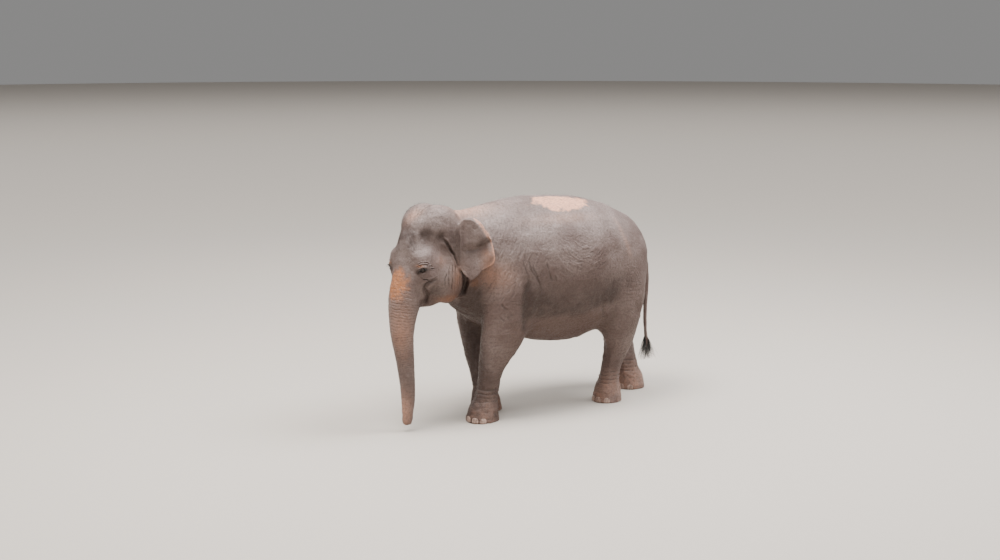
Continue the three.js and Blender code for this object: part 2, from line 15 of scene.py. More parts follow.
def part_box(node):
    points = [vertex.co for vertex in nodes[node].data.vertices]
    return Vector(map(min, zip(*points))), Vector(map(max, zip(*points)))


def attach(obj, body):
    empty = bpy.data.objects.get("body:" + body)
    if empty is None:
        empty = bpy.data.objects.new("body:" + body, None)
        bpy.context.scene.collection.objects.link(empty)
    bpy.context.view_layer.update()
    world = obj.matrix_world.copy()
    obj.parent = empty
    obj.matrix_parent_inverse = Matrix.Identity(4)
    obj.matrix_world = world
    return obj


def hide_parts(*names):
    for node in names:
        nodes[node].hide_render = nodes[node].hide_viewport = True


FLESH_GRAIN = 0.014  # side of a face while the flesh is smoothed
SKIN_GRAIN = 0.007  # side of a face of the skin; halved on the head, and again at the eyes
OVERLAP = 0.0012  # how far neighbouring parts of the flesh are swollen into each other
EYE_PLACE = (0.168, -0.004)  # forward and up, of both eyes in the head's frame
EYE_RADIUS = 0.0225


# ---- Arrays, curves and noise ----
def read(items, name, width=1, kind=np.float32):
    """One property of each of a mesh's items: an array, of rows where it has `width` values."""
    values = np.empty(len(items) * width, kind)
    items.foreach_get(name, values)
    return values.reshape(-1, width) if width > 1 else values


def positions_of(mesh):
    return read(mesh.vertices, "co", 3).astype(float)


def normals_of(mesh):
    return read(mesh.vertices, "normal", 3).astype(float)


def edges_of(mesh):
    return read(mesh.edges, "vertices", 2, np.int32)


def move_to(mesh, positions):
    mesh.vertices.foreach_set("co", positions.astype(np.float32).ravel())
    mesh.update()


def step(low, high, value):
    """0 below `low`, 1 above `high`, and smooth between."""
    t = np.clip((value - low) / (high - low), 0, 1)
    return t * t * (3 - 2 * t)


def near(places, centre, radii):
    """1 at the centre of an ellipsoid, falling to a third at its surface and on to 0."""
    return np.exp(-(((places - centre) / radii) ** 2).sum(axis=-1))


def forms(places, table):
    """The sum of a table's ellipsoids. Each row has its amount, its centre and its radii."""
    return sum(amount * near(places, centre, radii) for amount, centre, radii in table)


def curve(points, steps):
    """A smooth curve through the points, as `steps` + 1 points."""
    points = np.array(points, float)
    padded = np.concatenate([2 * points[:1] - points[1:2], points, 2 * points[-1:] - points[-2:-1]])
    at = np.linspace(0, len(points) - 1, steps + 1)
    span = np.minimum(at.astype(int), len(points) - 2)
    t = (at - span)[:, None]
    a, b, c, d = (padded[span + n] for n in range(4))
    return 0.5 * (2 * b + (c - a) * t + (2 * a - 5 * b + 4 * c - d) * t**2 + (3 * b - a - 3 * c + d) * t**3)


def from_path(places, path):
    """How far each place is from a path, and how far along the path its nearest point is."""
    nearest = np.full(len(places), np.inf)
    along = np.zeros(len(places))
    start_length = 0.0
    for start, end in zip(path, path[1:]):
        run = end - start
        length = np.linalg.norm(run)
        t = np.clip((places - start) @ run / length**2, 0, 1)
        distance = np.linalg.norm(places - start - t[:, None] * run, axis=1)
        closer = distance < nearest
        nearest[closer] = distance[closer]
        along[closer] = start_length + t[closer] * length
        start_length += length
    return nearest, along


SLOPES = np.array([v for v in itertools.product((-1, 0, 1), repeat=3) if sum(map(abs, v)) == 2])


def noise(places, seed=0):
    """Smooth noise from about -1 to 1, with features one unit across."""
    cell = np.floor(places).astype(np.int64)
    inside = places - cell
    fade = inside**3 * (inside * (6 * inside - 15) + 10)
    total = np.zeros(len(places))
    for corner in itertools.product((0, 1), repeat=3):
        mixed = ((cell + corner) * (73856093, 19349663, 83492791)).sum(axis=1) + seed * 7919
        mixed = ((mixed ^ (mixed >> 13)) * 1274126177) & 0x7FFFFFFF
        slope = SLOPES[(mixed ^ (mixed >> 15)) % len(SLOPES)]
        weight = np.prod(np.where(corner, fade, 1 - fade), axis=1)
        total += weight * ((inside - corner) * slope).sum(axis=1)
    return 1.2 * total


def wander_of(places, size, seed):
    """A smooth push in a random direction, which makes straight creases wander."""
    return np.stack([noise(places / size, seed + axis) for axis in range(3)], axis=1)


def furrows(places, seed, width=0.16):
    """Wandering grooves about one unit apart: 1 at the bottom of a groove, and 0 away from it."""
    return np.exp(-((noise(places, seed) / width) ** 2))


# ---- The frame ----
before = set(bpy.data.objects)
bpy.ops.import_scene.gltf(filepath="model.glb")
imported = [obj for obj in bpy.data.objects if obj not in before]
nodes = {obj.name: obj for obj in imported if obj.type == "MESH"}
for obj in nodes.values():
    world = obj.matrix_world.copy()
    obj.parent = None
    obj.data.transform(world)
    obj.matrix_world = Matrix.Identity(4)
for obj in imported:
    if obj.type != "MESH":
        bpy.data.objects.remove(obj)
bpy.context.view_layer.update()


def centre_of(node):
    low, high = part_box(node)
    return np.array((low + high) / 2)


# The head's frame, from its eyes
HEAD_LEFT = centre_of("eye_left") - centre_of("eye_right")
HEAD_LEFT /= np.linalg.norm(HEAD_LEFT)
HEAD_FORWARD = np.cross(HEAD_LEFT, (0, 0, 1))
HEAD_ORIGIN = (centre_of("eye_left") + centre_of("eye_right")) / 2 - EYE_PLACE[0] * HEAD_FORWARD
HEAD_ORIGIN[2] -= EYE_PLACE[1]
HEAD_AXES = np.array([HEAD_FORWARD, HEAD_LEFT, (0, 0, 1)])


def in_head(positions):
    return (positions - HEAD_ORIGIN) @ HEAD_AXES.T


def from_head(places):
    return np.asarray(places) @ HEAD_AXES + HEAD_ORIGIN


def in_body(positions):
    return np.stack([-positions[:, 1], positions[:, 0], positions[:, 2]], axis=1)


# ---- Meshes ----
def new_object(name, mesh, material=None):
    thing = bpy.data.objects.new(name, mesh)
    bpy.context.scene.collection.objects.link(thing)
    if material:
        mesh.materials.append(material)
    mesh.shade_smooth()
    return thing


def mesh_from(name, positions, faces):
    mesh = bpy.data.meshes.new(name)
    mesh.from_pydata(np.asarray(positions).tolist(), [], np.asarray(faces).tolist())
    mesh.update()
    return mesh


def finished(whole, name):
    """A mesh from a bmesh, which is freed."""
    mesh = bpy.data.meshes.new(name)
    whole.to_mesh(mesh)
    whole.free()
    return mesh


def welded(mesh):
    """A bmesh of a mesh, with the corners that its faces share made one."""
    part = bmesh.new()
    part.from_mesh(mesh)
    bmesh.ops.remove_doubles(part, verts=part.verts, dist=1e-5)
    return part


def add_swollen(whole, node, distance):
    """Adds a node to `whole` with its surface moved outwards."""
    part = welded(node.data)
    part.normal_update()
    for vert in part.verts:
        vert.co += vert.normal * distance
    mesh = finished(part, "part")
    whole.from_mesh(mesh)
    bpy.data.meshes.remove(mesh)


def shell_faces(rows, columns):
    """Faces of a closed shell: one grid of points, another under it, and sides that join them."""
    grid = np.arange((rows + 1) * (columns + 1)).reshape(rows + 1, columns + 1)
    a, b, c, d = grid[:-1, :-1], grid[:-1, 1:], grid[1:, 1:], grid[1:, :-1]
    top = np.stack([a, b, c, d], axis=-1).reshape(-1, 4)
    rim = np.concatenate([grid[0, :-1], grid[:-1, -1], grid[-1, :0:-1], grid[:0:-1, 0]])
    after = np.roll(rim, -1)
    sides = np.stack([rim, rim + grid.size, after + grid.size, after], axis=1)
    return np.concatenate([top, top[:, ::-1] + grid.size, sides])


def remeshed(mesh, grain):
    """The outer surface of closed shapes that overlap, as one mesh of small squares."""
    thing = new_object("remeshed", mesh)
    modifier = thing.modifiers.new("grain", "REMESH")
    modifier.mode = "VOXEL"
    modifier.voxel_size = grain
    graph = bpy.context.evaluated_depsgraph_get()
    result = bpy.data.meshes.new_from_object(thing.evaluated_get(graph))
    bpy.data.objects.remove(thing)
    return result


def unit(vectors):
    return vectors / np.linalg.norm(vectors, axis=1, keepdims=True)


def averaged(values, edges):
    """For each vertex, the mean of the values at its neighbours."""
    start, end = np.concatenate([edges, edges[:, ::-1]]).T
    degree = np.bincount(start, minlength=len(values))
    return np.bincount(start, values[end], len(values)) / degree


def smoothed(positions, edges, rounds):
    """Positions with small lumps smoothed away and the volume kept, by more rounds where asked."""
    count = len(positions)
    degree = np.bincount(edges.ravel(), minlength=count)[:, None]
    start, end = np.concatenate([edges, edges[:, ::-1]]).T
    for n in range(int(rounds.max())):
        share = np.clip(rounds - n, 0, 1)[:, None]
        for rate in (0.5, -0.52):
            total = [np.bincount(start, positions[end, axis], count) for axis in range(3)]
            positions = positions + rate * share * (np.stack(total, axis=1) / degree - positions)
    return positions


# ---- Flesh, without its facets ----
TAIL_END = {"thickness": 0.036, "length": 0.72}  # across at its start, and as a share of the tuft


def add_tail_end(whole, node):
    """Adds the fleshy end of the tail: the tuft made slimmer and shorter, for its hair to cover."""
    part = welded(node.data)
    low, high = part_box(node.name)
    upper = [vert.co.copy() for vert in part.verts if vert.co.z > high.z - 0.03]
    lower = [vert.co.copy() for vert in part.verts if vert.co.z < low.z + 0.1]
    start = sum(upper, Vector()) / len(upper)
    end = sum(lower, Vector()) / len(lower)
    for vert in part.verts:
        down = (high.z - vert.co.z) / (high.z - low.z)
        axis = start.lerp(end, down).xy
        thickness = TAIL_END["thickness"] * (1 - 0.5 * down)
        spoke = vert.co.xy - axis
        vert.co.xy = axis + spoke * min(1.0, thickness / 2 / max(spoke.length, 1e-4))
        vert.co.z = high.z - TAIL_END["length"] * (high.z - vert.co.z)
    whole.from_mesh(finished(part, "tail_end"))


def is_flesh(name):
    return not (name.startswith(("eye_", "ear_")) or "_nail_" in name or name == "tail_tuft")


def smooth_flesh():
    whole = bmesh.new()
    for name, node in sorted(nodes.items()):
        if is_flesh(name):
            add_swollen(whole, node, OVERLAP)
        if name.startswith("eye_"):  # fills its socket, which the skin opens again
            add_swollen(whole, node, 0)
        if name == "tail_tuft":
            add_tail_end(whole, node)
    mesh = remeshed(finished(whole, "flesh"), FLESH_GRAIN)
    positions = positions_of(mesh)
    place = in_head(positions)
    forward, left, up = in_body(positions).T
    on_head = step(-0.5, -0.36, place[:, 0])
    on_trunk = on_head * step(-0.3, -0.42, place[:, 2])
    on_leg = step(1.15, 0.85, up) * (1 - on_head)
    on_foot = step(0.3, 0.16, up) * (1 - on_head)
    on_tail = step(-1.5, -1.56, forward) * step(0.18, 0.12, np.abs(left)) * step(0.3, 0.4, up)
    rounds = 90 * (1 - on_head) * (1 - 0.55 * on_leg) * (1 - 0.75 * on_foot)
    rounds = (rounds + 22 * on_head * (1 - 0.3 * on_trunk)) * (1 - 0.9 * on_tail)
    move_to(mesh, smoothed(positions, edges_of(mesh), rounds))
    return mesh


# ---- Ears ----
# The free edge, from the top of the ear's root round to the bottom: outwards from the root, up.
EAR_EDGE = (
    (0.0, 0.42), (0.06, 0.474), (0.136, 0.488), (0.21, 0.448), (0.272, 0.355), (0.322, 0.24),
    (0.352, 0.13), (0.36, 0.062), (0.334, 0.01), (0.28, -0.022), (0.222, -0.066),
    (0.172, -0.12), (0.126, -0.153), (0.09, -0.136), (0.048, -0.085), (0.0, -0.02),
)
EAR_ROOT = (-0.325, 0.29)  # forward and left, in the head's frame
EAR_SUNK = 0.06
EAR_SPREAD = {"left": 54, "right": 46}  # degrees out from straight back
EAR_THICKNESS = (0.036, 0.016)  # at the root, at the edge


def ear_fold(out):
    """How high the ear's fold lies, `out` from its root."""
    return 0.128 + 0.42 * (out - 0.054) - 0.9 * np.clip(out - 0.19, 0, 1) ** 2 + 0.012 * np.sin(24 * out)


def ear_relief(out, up, toward_edge):
    """How far the ear's blade stands out from a plane: it bulges above a deep fold across its
    middle, rolls back along its upper edge and flares at its lobe."""
    above = up - ear_fold(out)
    cup = 0.022 * np.sin(np.pi * np.clip(out, 0, 0.38) / 0.38)
    bulge = 0.05 * step(0.0, 0.085, above) * step(0.0, 0.08, out)
    groove = -0.014 * np.exp(-((above / 0.024) ** 2)) * step(0.02, 0.1, out) * step(0.36, 0.26, out)
    roll = -0.028 * step(0.86, 1.0, toward_edge) * step(-0.05, 0.06, up)
    flare = 0.036 * step(-0.01, -0.16, above) * step(0.2, 1.0, toward_edge)
    ripple = 0.007 * np.sin(19 * out + 11 * up) * toward_edge
    return cup + bulge + groove + roll + flare + ripple


def ear_mesh(side_name, rows=110, columns=52):
    side = 1 if side_name == "left" else -1
    edge = curve(EAR_EDGE, rows)
    t = np.linspace(0, 1, columns + 1)[None, :]
    root_up = np.linspace(0.39, 0.0, rows + 1)[:, None]
    out = -EAR_SUNK + t * (np.maximum(edge[:, :1], 0.008) + EAR_SUNK)
    up = root_up + t * (edge[:, 1:] - root_up)
    relief = ear_relief(out, up, t)
    spread = math.radians(EAR_SPREAD[side_name])
    forward = EAR_ROOT[0] - out * math.cos(spread) + relief * math.sin(spread)
    left = EAR_ROOT[1] + out * math.sin(spread) + relief * math.cos(spread)
    sheet = np.stack([forward, side * left, up + 0 * t], axis=2)
    down, across = np.gradient(sheet, axis=0), np.gradient(sheet, axis=1)
    normal = np.cross(down, across)
    normal /= np.linalg.norm(normal, axis=2, keepdims=True)
    half = (EAR_THICKNESS[0] + (EAR_THICKNESS[1] - EAR_THICKNESS[0]) * step(0, 0.7, t)) / 2
    places = np.concatenate([(sheet + s * half[..., None] * normal).reshape(-1, 3) for s in (1, -1)])
    whole = bmesh.new()
    whole.from_mesh(mesh_from("ear", from_head(places), shell_faces(rows, columns)))
    bmesh.ops.recalc_face_normals(whole, faces=whole.faces)
    return finished(whole, "ear")


# ---- The skin's base: flesh and ears in one, with more faces on the head ----
def split_near(mesh, chosen):
    """Splits each edge with both ends chosen."""
    whole = bmesh.new()
    whole.from_mesh(mesh)
    whole.verts.ensure_lookup_table()
    ends = chosen[edges_of(mesh)].all(axis=1)
    edges = [edge for edge, take in zip(whole.edges, ends) if take]
    bmesh.ops.subdivide_edges(whole, edges=edges, cuts=1, use_grid_fill=True, smooth=0.7)
    whole.to_mesh(mesh)
    whole.free()


def skin_base():
    whole = bmesh.new()
    for mesh in (smooth_flesh(), ear_mesh("left"), ear_mesh("right")):
        whole.from_mesh(mesh)
    mesh = remeshed(finished(whole, "skin"), SKIN_GRAIN)
    positions = positions_of(mesh)
    place = mirrored(in_head(positions))
    root = near(place, (EAR_ROOT[0], EAR_ROOT[1], 0.19), (0.05, 0.05, 0.26))
    positions = smoothed(positions, edges_of(mesh), 3.0 + 26 * step(0.25, 0.8, root))
    move_to(mesh, positions)
    place = in_head(positions)
    on_head = (place[:, 0] > -0.4) & (place[:, 2] > -0.5)
    split_near(mesh, on_head)
    place = mirrored(in_head(positions_of(mesh)))
    at_eye = np.linalg.norm(place - EYE_CORNERS.mean(axis=0), axis=1) < 0.12
    split_near(mesh, at_eye)
    return mesh


# ---- The head's features, on her left ----
EYE_CORNERS = np.array([(0.192, 0.208, -0.02), (0.14, 0.252, -0.001)])
TEMPLE_GROOVE = (
    (-0.085, 0.25, 0.29), (-0.139, 0.267, 0.24), (-0.184, 0.282, 0.168), (-0.232, 0.295, 0.103),
    (-0.261, 0.302, 0.023), (-0.29, 0.305, -0.048),
)
JAW_GROOVE = (  # between the rear of the jaw and the neck
    (-0.312, 0.305, -0.03), (-0.36, 0.31, -0.11), (-0.385, 0.305, -0.19), (-0.392, 0.28, -0.275),
    (-0.36, 0.26, -0.345), (-0.29, 0.23, -0.4),
)
CHEEK_FOLD = (
    (0.01, 0.29, -0.108), (0.045, 0.28, -0.117), (0.083, 0.263, -0.13), (0.119, 0.229, -0.159),
    (0.124, 0.21, -0.186), (0.107, 0.199, -0.224), (0.067, 0.19, -0.265), (0.026, 0.141, -0.328),
    (0.004, 0.115, -0.386), (0.0, 0.06, -0.42),
)
BAG_FOLD = (
    (0.19, 0.2, -0.05), (0.176, 0.212, -0.082), (0.145, 0.238, -0.1), (0.103, 0.261, -0.107),
    (0.05, 0.282, -0.094), (0.01, 0.29, -0.07),
)
LID_CREASES = (
    (
        (0.222, 0.17, 0.01), (0.208, 0.196, 0.036), (0.175, 0.236, 0.046), (0.12, 0.258, 0.042),
        (0.06, 0.276, 0.022),
    ),
    ((0.215, 0.18, 0.045), (0.185, 0.22, 0.066), (0.135, 0.248, 0.066), (0.08, 0.262, 0.048)),
    ((0.14, 0.252, -0.001), (0.1, 0.27, 0.004), (0.045, 0.284, 0.004)),
    ((0.192, 0.208, -0.02), (0.204, 0.196, -0.034), (0.202, 0.192, -0.06)),
)
UPPER_LID = ((0.205, 0.196, 0.0), (0.186, 0.222, 0.017), (0.16, 0.244, 0.022), (0.125, 0.26, 0.014))
LOWER_LID = ((0.192, 0.208, -0.034), (0.172, 0.232, -0.042), (0.145, 0.25, -0.034), (0.12, 0.262, -0.016))
LIDS_APART = {"up": 0.0185, "down": 0.016}  # from the line between the eye's corners
CHEEK_CREASES = (
    ((-0.2, 0.295, 0.08), (-0.181, 0.307, -0.035), (-0.17, 0.308, -0.164), (-0.19, 0.29, -0.27)),
    ((-0.235, 0.3, 0.04), (-0.222, 0.308, -0.08), (-0.215, 0.305, -0.18), (-0.23, 0.285, -0.29)),
    ((-0.262, 0.306, -0.01), (-0.252, 0.309, -0.129), (-0.262, 0.289, -0.262)),
    ((-0.15, 0.301, 0.02), (-0.125, 0.307, -0.08), (-0.118, 0.306, -0.15), (-0.144, 0.293, -0.23)),
    ((-0.297, 0.304, -0.076), (-0.305, 0.292, -0.191), (-0.306, 0.269, -0.299)),
    ((-0.1, 0.3, -0.06), (-0.07, 0.304, -0.13), (-0.085, 0.29, -0.2)),
)
TRUNK_LINE = (
    (0.092, 0, 0.19), (0.112, 0, 0.0), (0.162, 0, -0.17), (0.202, 0, -0.33), (0.23, 0, -0.48),
    (0.245, 0, -0.638), (0.218, 0, -0.883), (0.184, 0, -1.129), (0.168, 0, -1.373), (0.176, 0, -1.54),
    (0.18, 0, -1.64),
)


def crease(places, path, width, depth, lips=0.35):
    """A groove along a path, between two soft lips, that fades at its ends."""
    moved = np.zeros(len(places))
    way = curve(path, 24)
    close = np.all((places > way.min(axis=0) - 4 * width) & (places < way.max(axis=0) + 4 * width), axis=1)
    distance, along = from_path(places[close], way)
    length = np.linalg.norm(np.diff(way, axis=0), axis=1).sum()
    fade = step(0, 0.2, along / length) * step(1, 0.8, along / length)
    reach = distance / width
    moved[close] = depth * fade * (lips * np.exp(-((reach - 2) ** 2)) - np.exp(-(reach**2)))
    return moved


def ridge(places, path, width, height):
    return -crease(places, path, width, height, lips=0)


def eye_opening(places):
    """The opening between the lids: 1 inside it, falling to 0 over the lids' rims."""
    inner, outer = EYE_CORNERS
    middle, run = (inner + outer) / 2, inner - outer
    half = np.linalg.norm(run) / 2
    along = (places - middle) @ run / (2 * half**2)
    across = places[:, 2] - middle[2] - along * (inner[2] - outer[2]) / 2
    open_up = LIDS_APART["up"] * np.clip(1 - np.abs(along) ** 2.2, 0, 1)
    open_down = LIDS_APART["down"] * np.clip(1 - np.abs(along) ** 2.6, 0, 1)
    inside = np.where(across > 0, across / (open_up + 1e-4), -across / (open_down + 1e-4))
    beside = np.abs(places[:, 1] - middle[1]) < 0.07
    return step(1.3, 0.8, inside) * (np.abs(along) < 1.1) * beside


def mirrored(places):
    return np.stack([places[:, 0], np.abs(places[:, 1]), places[:, 2]], axis=1)


# Bulges and hollows of the head: how far they stand out, their centre and their radii
HEAD_FORMS = (
    (0.014, (0.105, 0.222, 0.14), (0.07, 0.07, 0.055)),  # brow
    (0.01, (0.195, 0.15, 0.15), (0.04, 0.04, 0.075)),  # brow's inner end
    (-0.014, (0.185, 0.105, 0.255), (0.04, 0.045, 0.08)),  # between it and the trunk's ridge
    (0.007, (0.2, 0.04, 0.29), (0.05, 0.035, 0.12)),  # ridge of the face
    (-0.012, (0.16, 0.0, 0.385), (0.06, 0.17, 0.05)),  # under the domes
    (-0.026, (0.078, 0.182, 0.32), (0.05, 0.07, 0.065)),  # temple, in front
    (-0.022, (-0.075, 0.25, 0.305), (0.045, 0.07, 0.045)),  # temple, behind
    (-0.01, (-0.21, 0.296, 0.26), (0.06, 0.07, 0.11)),  # before the ear
    (0.008, (-0.06, 0.27, 0.08), (0.09, 0.07, 0.07)),  # cheek bone
    (0.012, (-0.16, 0.308, -0.13), (0.12, 0.07, 0.13)),  # jaw muscle
    (-0.042, (0.02, 0.24, -0.235), (0.075, 0.08, 0.07)),  # behind the lips
    (-0.03, (-0.03, 0.18, -0.34), (0.075, 0.09, 0.06)),  # side of the lower jaw
    (0.01, (0.06, 0.225, -0.205), (0.03, 0.05, 0.03)),  # corner of the mouth
    (0.006, (0.126, 0.258, -0.058), (0.05, 0.04, 0.028)),  # bag under the eye
    (-0.012, (0.215, 0.15, -0.02), (0.035, 0.04, 0.05)),  # before the eye
    (-0.016, (-0.02, 0.0, 0.58), (0.2, 0.035, 0.12)),  # between the domes
)


def head_sculpt(place):
    """How far the skin of the head stands out beyond its smooth flesh."""
    spot = mirrored(place)
    spot = spot + 0.007 * wander_of(place, 0.06, 41) + 0.003 * wander_of(place, 0.022, 44)
    moved = forms(spot, HEAD_FORMS)
    moved += crease(spot, TEMPLE_GROOVE, 0.012, 0.02)
    moved += crease(spot, JAW_GROOVE, 0.022, 0.05, lips=0.15)
    moved += crease(spot, CHEEK_FOLD, 0.017, 0.032, lips=0.2)
    for n, path in enumerate(CHEEK_CREASES):
        moved += crease(spot, path, 0.006 + 0.002 * (n % 2), (0.01, 0.007)[n % 2])
    moved += crease(spot, BAG_FOLD, 0.006, 0.011)
    for path in LID_CREASES:
        moved += crease(spot, path, 0.005, 0.009)
    moved += ridge(spot, UPPER_LID, 0.009, 0.009)
    moved += ridge(spot, LOWER_LID, 0.008, 0.006)
    moved -= 0.024 * eye_opening(spot)
    nostril = near(spot, (0.196, 0.022, -1.652), (0.016, 0.013, 0.014))
    return moved - 0.03 * nostril


def trunk_rings(place):
    """Rings across the trunk, deepest on its front, closer together towards its tip."""
    moved = np.zeros(len(place))
    on = (place[:, 0] > 0.02) & (np.abs(place[:, 1]) < 0.24) & (place[:, 2] < 0.12)
    spot = place[on]
    _, along = from_path(spot * (1, 0, 1), curve(TRUNK_LINE, 60))
    wander = 0.55 * noise(spot / (0.09, 0.09, 0.2), 3) + 0.2 * noise(spot / 0.035, 4)
    phase = 20 * along + 11 * along**2 + wander
    ring = np.abs(np.cos(np.pi * phase)) ** 5
    between = np.abs(np.cos(2.3 * np.pi * phase + 4 * wander)) ** 4
    start = 0.35 * step(0.16, 0.4, along) + 0.65 * step(0.45, 0.75, along)
    patchy = np.clip(0.75 + 0.6 * noise(spot / (0.06, 0.06, 0.04), 5), 0.1, 1.3)
    depth = (0.006 - 0.0016 * along) * patchy
    moved[on] = start * (0.0025 - depth * ring - 0.002 * between * patchy)
    return moved


# ---- Folds of the body ----
ARMPIT = (
    (0.33, 0.595, 1.6), (0.362, 0.59, 1.48), (0.372, 0.57, 1.34), (0.366, 0.53, 1.18),
    (0.352, 0.48, 1.04), (0.33, 0.4, 0.93),
)
SHOULDER_CREASES = (
    ((0.414, 0.56, 1.736), (0.38, 0.575, 1.65), (0.346, 0.588, 1.56)),
    ((0.35, 0.58, 1.75), (0.311, 0.6, 1.64), (0.25, 0.605, 1.52)),
    ((0.311, 0.591, 1.711), (0.265, 0.607, 1.59), (0.186, 0.592, 1.404)),
    ((0.171, 0.624, 1.724), (0.13, 0.63, 1.62), (0.087, 0.631, 1.507)),
    ((0.09, 0.63, 1.69), (0.05, 0.635, 1.57), (0.03, 0.632, 1.48)),
)
FLANK_FOLD = ((-0.56, 0.6, 1.33), (-0.64, 0.56, 1.18), (-0.69, 0.5, 1.05), (-0.72, 0.43, 0.93))
ELBOW_CREASES = (
    ((0.64, 0.5, 1.33), (0.59, 0.512, 1.25), (0.5, 0.52, 1.23)),
    ((0.65, 0.48, 1.19), (0.59, 0.5, 1.13), (0.48, 0.51, 1.13)),
    ((0.66, 0.44, 1.05), (0.6, 0.48, 0.99), (0.5, 0.49, 1.0), (0.41, 0.45, 1.05)),
    ((0.6, 0.44, 0.9), (0.52, 0.46, 0.86), (0.43, 0.42, 0.9)),
)


def waves(places, seed):
    """Long soft wrinkles about one unit apart, sharper in their valleys."""
    value = noise(places, seed)
    return 0.5 * value - 0.5 * np.exp(-((value / 0.22) ** 2)) + 0.2


def body_sculpt(spot, share):
    """Wrinkles and folds of the body. `share` is how much of each place is body, not head."""
    forward, left, up = spot.T
    side = mirrored(spot) + 0.012 * wander_of(spot, 0.1, 51)
    moved = crease(side, ARMPIT, 0.045, 0.026, lips=0.2)
    for path in SHOULDER_CREASES:
        moved += crease(side, path, 0.009, 0.006)
    for path in ELBOW_CREASES:
        moved += crease(side, path, 0.01, 0.007)
    moved += crease(side, FLANK_FOLD, 0.03, 0.012)
    # Wrinkles hang in arcs on the flank, slant on the neck and lie level on the legs.
    hang = np.hypot(forward + 0.36, up - 2.0)
    turn = np.arctan2(up - 2.0, forward + 0.36) * np.maximum(hang, 0.2)
    flank = np.exp(-(((forward + 0.4) / 0.42) ** 2) - ((up - 1.68) / 0.24) ** 2)
    moved += 0.0078 * flank * waves(np.stack([hang / 0.026, turn / 0.12, left / 0.2], 1), 11)
    rump = np.exp(-(((forward + 1.05) / 0.28) ** 2) - ((up - 1.45) / 0.2) ** 2)
    moved += 0.0055 * rump * waves(np.stack([forward / 0.032, up / 0.026, left / 0.04], 1), 17)
    slant = (forward + 0.5 * up) / 0.026
    along = (up - 0.5 * forward) / 0.17
    shoulder = step(-0.15, 0.35, forward) * step(0.95, 1.25, up)
    moved += 0.0048 * shoulder * waves(np.stack([slant, along, left / 0.1], 1), 12)
    level = step(1.5, 1.25, up)
    moved += 0.0045 * level * waves(np.stack([forward / 0.14, left / 0.14, up / 0.038], 1), 13)
    moved -= 0.0022 * furrows(spot / (0.05, 0.05, 0.036), 14, 0.14)
    moved += 0.0035 * noise(spot / 0.15, 15)
    ankle = sum(np.exp(-(((up - height) / 0.01) ** 2)) for height in (0.225, 0.262, 0.305, 0.35))
    moved -= 0.007 * ankle * np.clip(0.6 + 0.6 * noise(spot / (0.1, 0.1, 0.03), 16), 0, 1)
    tail = step(-1.5, -1.56, forward) * step(0.16, 0.1, np.abs(left)) * step(0.45, 0.55, up)
    return moved * share * (1 - 0.8 * tail)


def wrinkle(mesh):
    """Sculpts the skin and keeps, as an attribute, how deep in a crease each vertex is, which the skin's
    colour darkens as painted shade.
    """
    positions = positions_of(mesh)
    place, spot = in_head(positions), in_body(positions)
    ear = ear_share(place, spot)
    on_head = step(-0.47, -0.39, place[:, 0])
    moved = (head_sculpt(place) * (1 - ear) + trunk_rings(place)) * on_head
    fine = 0.0016 * furrows(place / (0.04, 0.04, 0.055), 21) + 0.001 * furrows(place / 0.018, 22)
    moved -= fine * on_head
    moved += 0.004 * noise(place / 0.08, 23) * on_head * step(-0.5, 0.1, place[:, 2])
    moved += body_sculpt(spot, (1 - on_head) * (1 - ear))
    moved -= 0.0014 * ear * furrows(place / (0.05, 0.05, 0.08), 24)
    positions += normals_of(mesh) * moved[:, None]
    positions[:, 2] = np.maximum(positions[:, 2], 0)
    move_to(mesh, positions)
    around = moved
    for _ in range(12):
        around = averaged(around, edges_of(mesh))
    set_attribute(mesh, "crease", np.clip((around - moved) / 0.0035, 0, 1))


def ear_share(place, spot):
    """1 on the ears' blades, and 0 on the head and neck."""
    behind = np.maximum(EAR_ROOT[0] - place[:, 0], 0.02)
    spread = (np.abs(place[:, 1]) - EAR_ROOT[1]) / behind
    beside = step(-0.36, -0.4, place[:, 0]) * step(0.31, 0.36, np.abs(place[:, 1]))
    beside = beside * step(0.45, 0.65, spread)
    return beside * (place[:, 2] > -0.2) * (place[:, 2] < 0.6) * step(0.68, 0.72, spot[:, 0])


def set_attribute(mesh, name, values):
    attribute = mesh.attributes.new(name, "FLOAT", "POINT")
    attribute.data.foreach_set("value", values.astype(np.float32))


# ---- Markings, with painted light and shade: how strong each spot is, its centre and its radii ----
RUST_SPOTS = (
    (0.6, (0.196, 0.21, 0.036), (0.03, 0.04, 0.014)),  # upper lid
    (0.15, (-0.061, 0.269, 0.061), (0.07, 0.06, 0.06)),  # behind the eye
)
DUST_AND_HIGHLIGHT_SPOTS = (  # dust and painted highlight of the body, on her left and along her middle
    (0.16, (-0.15, 0.45, 2.14), (0.38, 0.1, 0.06)),  # painted highlight below the back's patch
    (0.16, (0.59, 0.51, 1.6), (0.13, 0.12, 0.13)),  # shoulder
    (0.4, (0.82, 0.06, 2.25), (0.3, 0.16, 0.09)),  # painted highlight along the nape
)
RUMP_STREAK = (
    (-0.86, 0.32, 2.13), (-0.89, 0.38, 2.05), (-0.954, 0.496, 1.852), (-1.027, 0.531, 1.61),
)
# Painted shade on the body, in its folds and hollows and where it turns from the light
PAINTED_SHADE_BODY = (
    (0.6, (0.29, 0.58, 1.33), (0.15, 0.15, 0.23)),  # behind the foreleg
    (0.5, (-0.74, 0.57, 1.3), (0.11, 0.15, 0.15)),  # before the thigh
    (0.35, (-0.8, 0.45, 1.05), (0.15, 0.2, 0.2)),  # front of the thigh
    (0.35, (-1.0, 0.54, 1.42), (0.26, 0.2, 0.12)),  # thigh
    (0.25, (-0.7, 0.46, 2.06), (0.06, 0.1, 0.09)),  # hip
    (0.22, (0.5, 0.5, 1.85), (0.4, 0.25, 0.2)),  # shoulder
    (0.16, (-0.1, 0.6, 1.6), (0.6, 0.25, 0.25)),  # flank
)
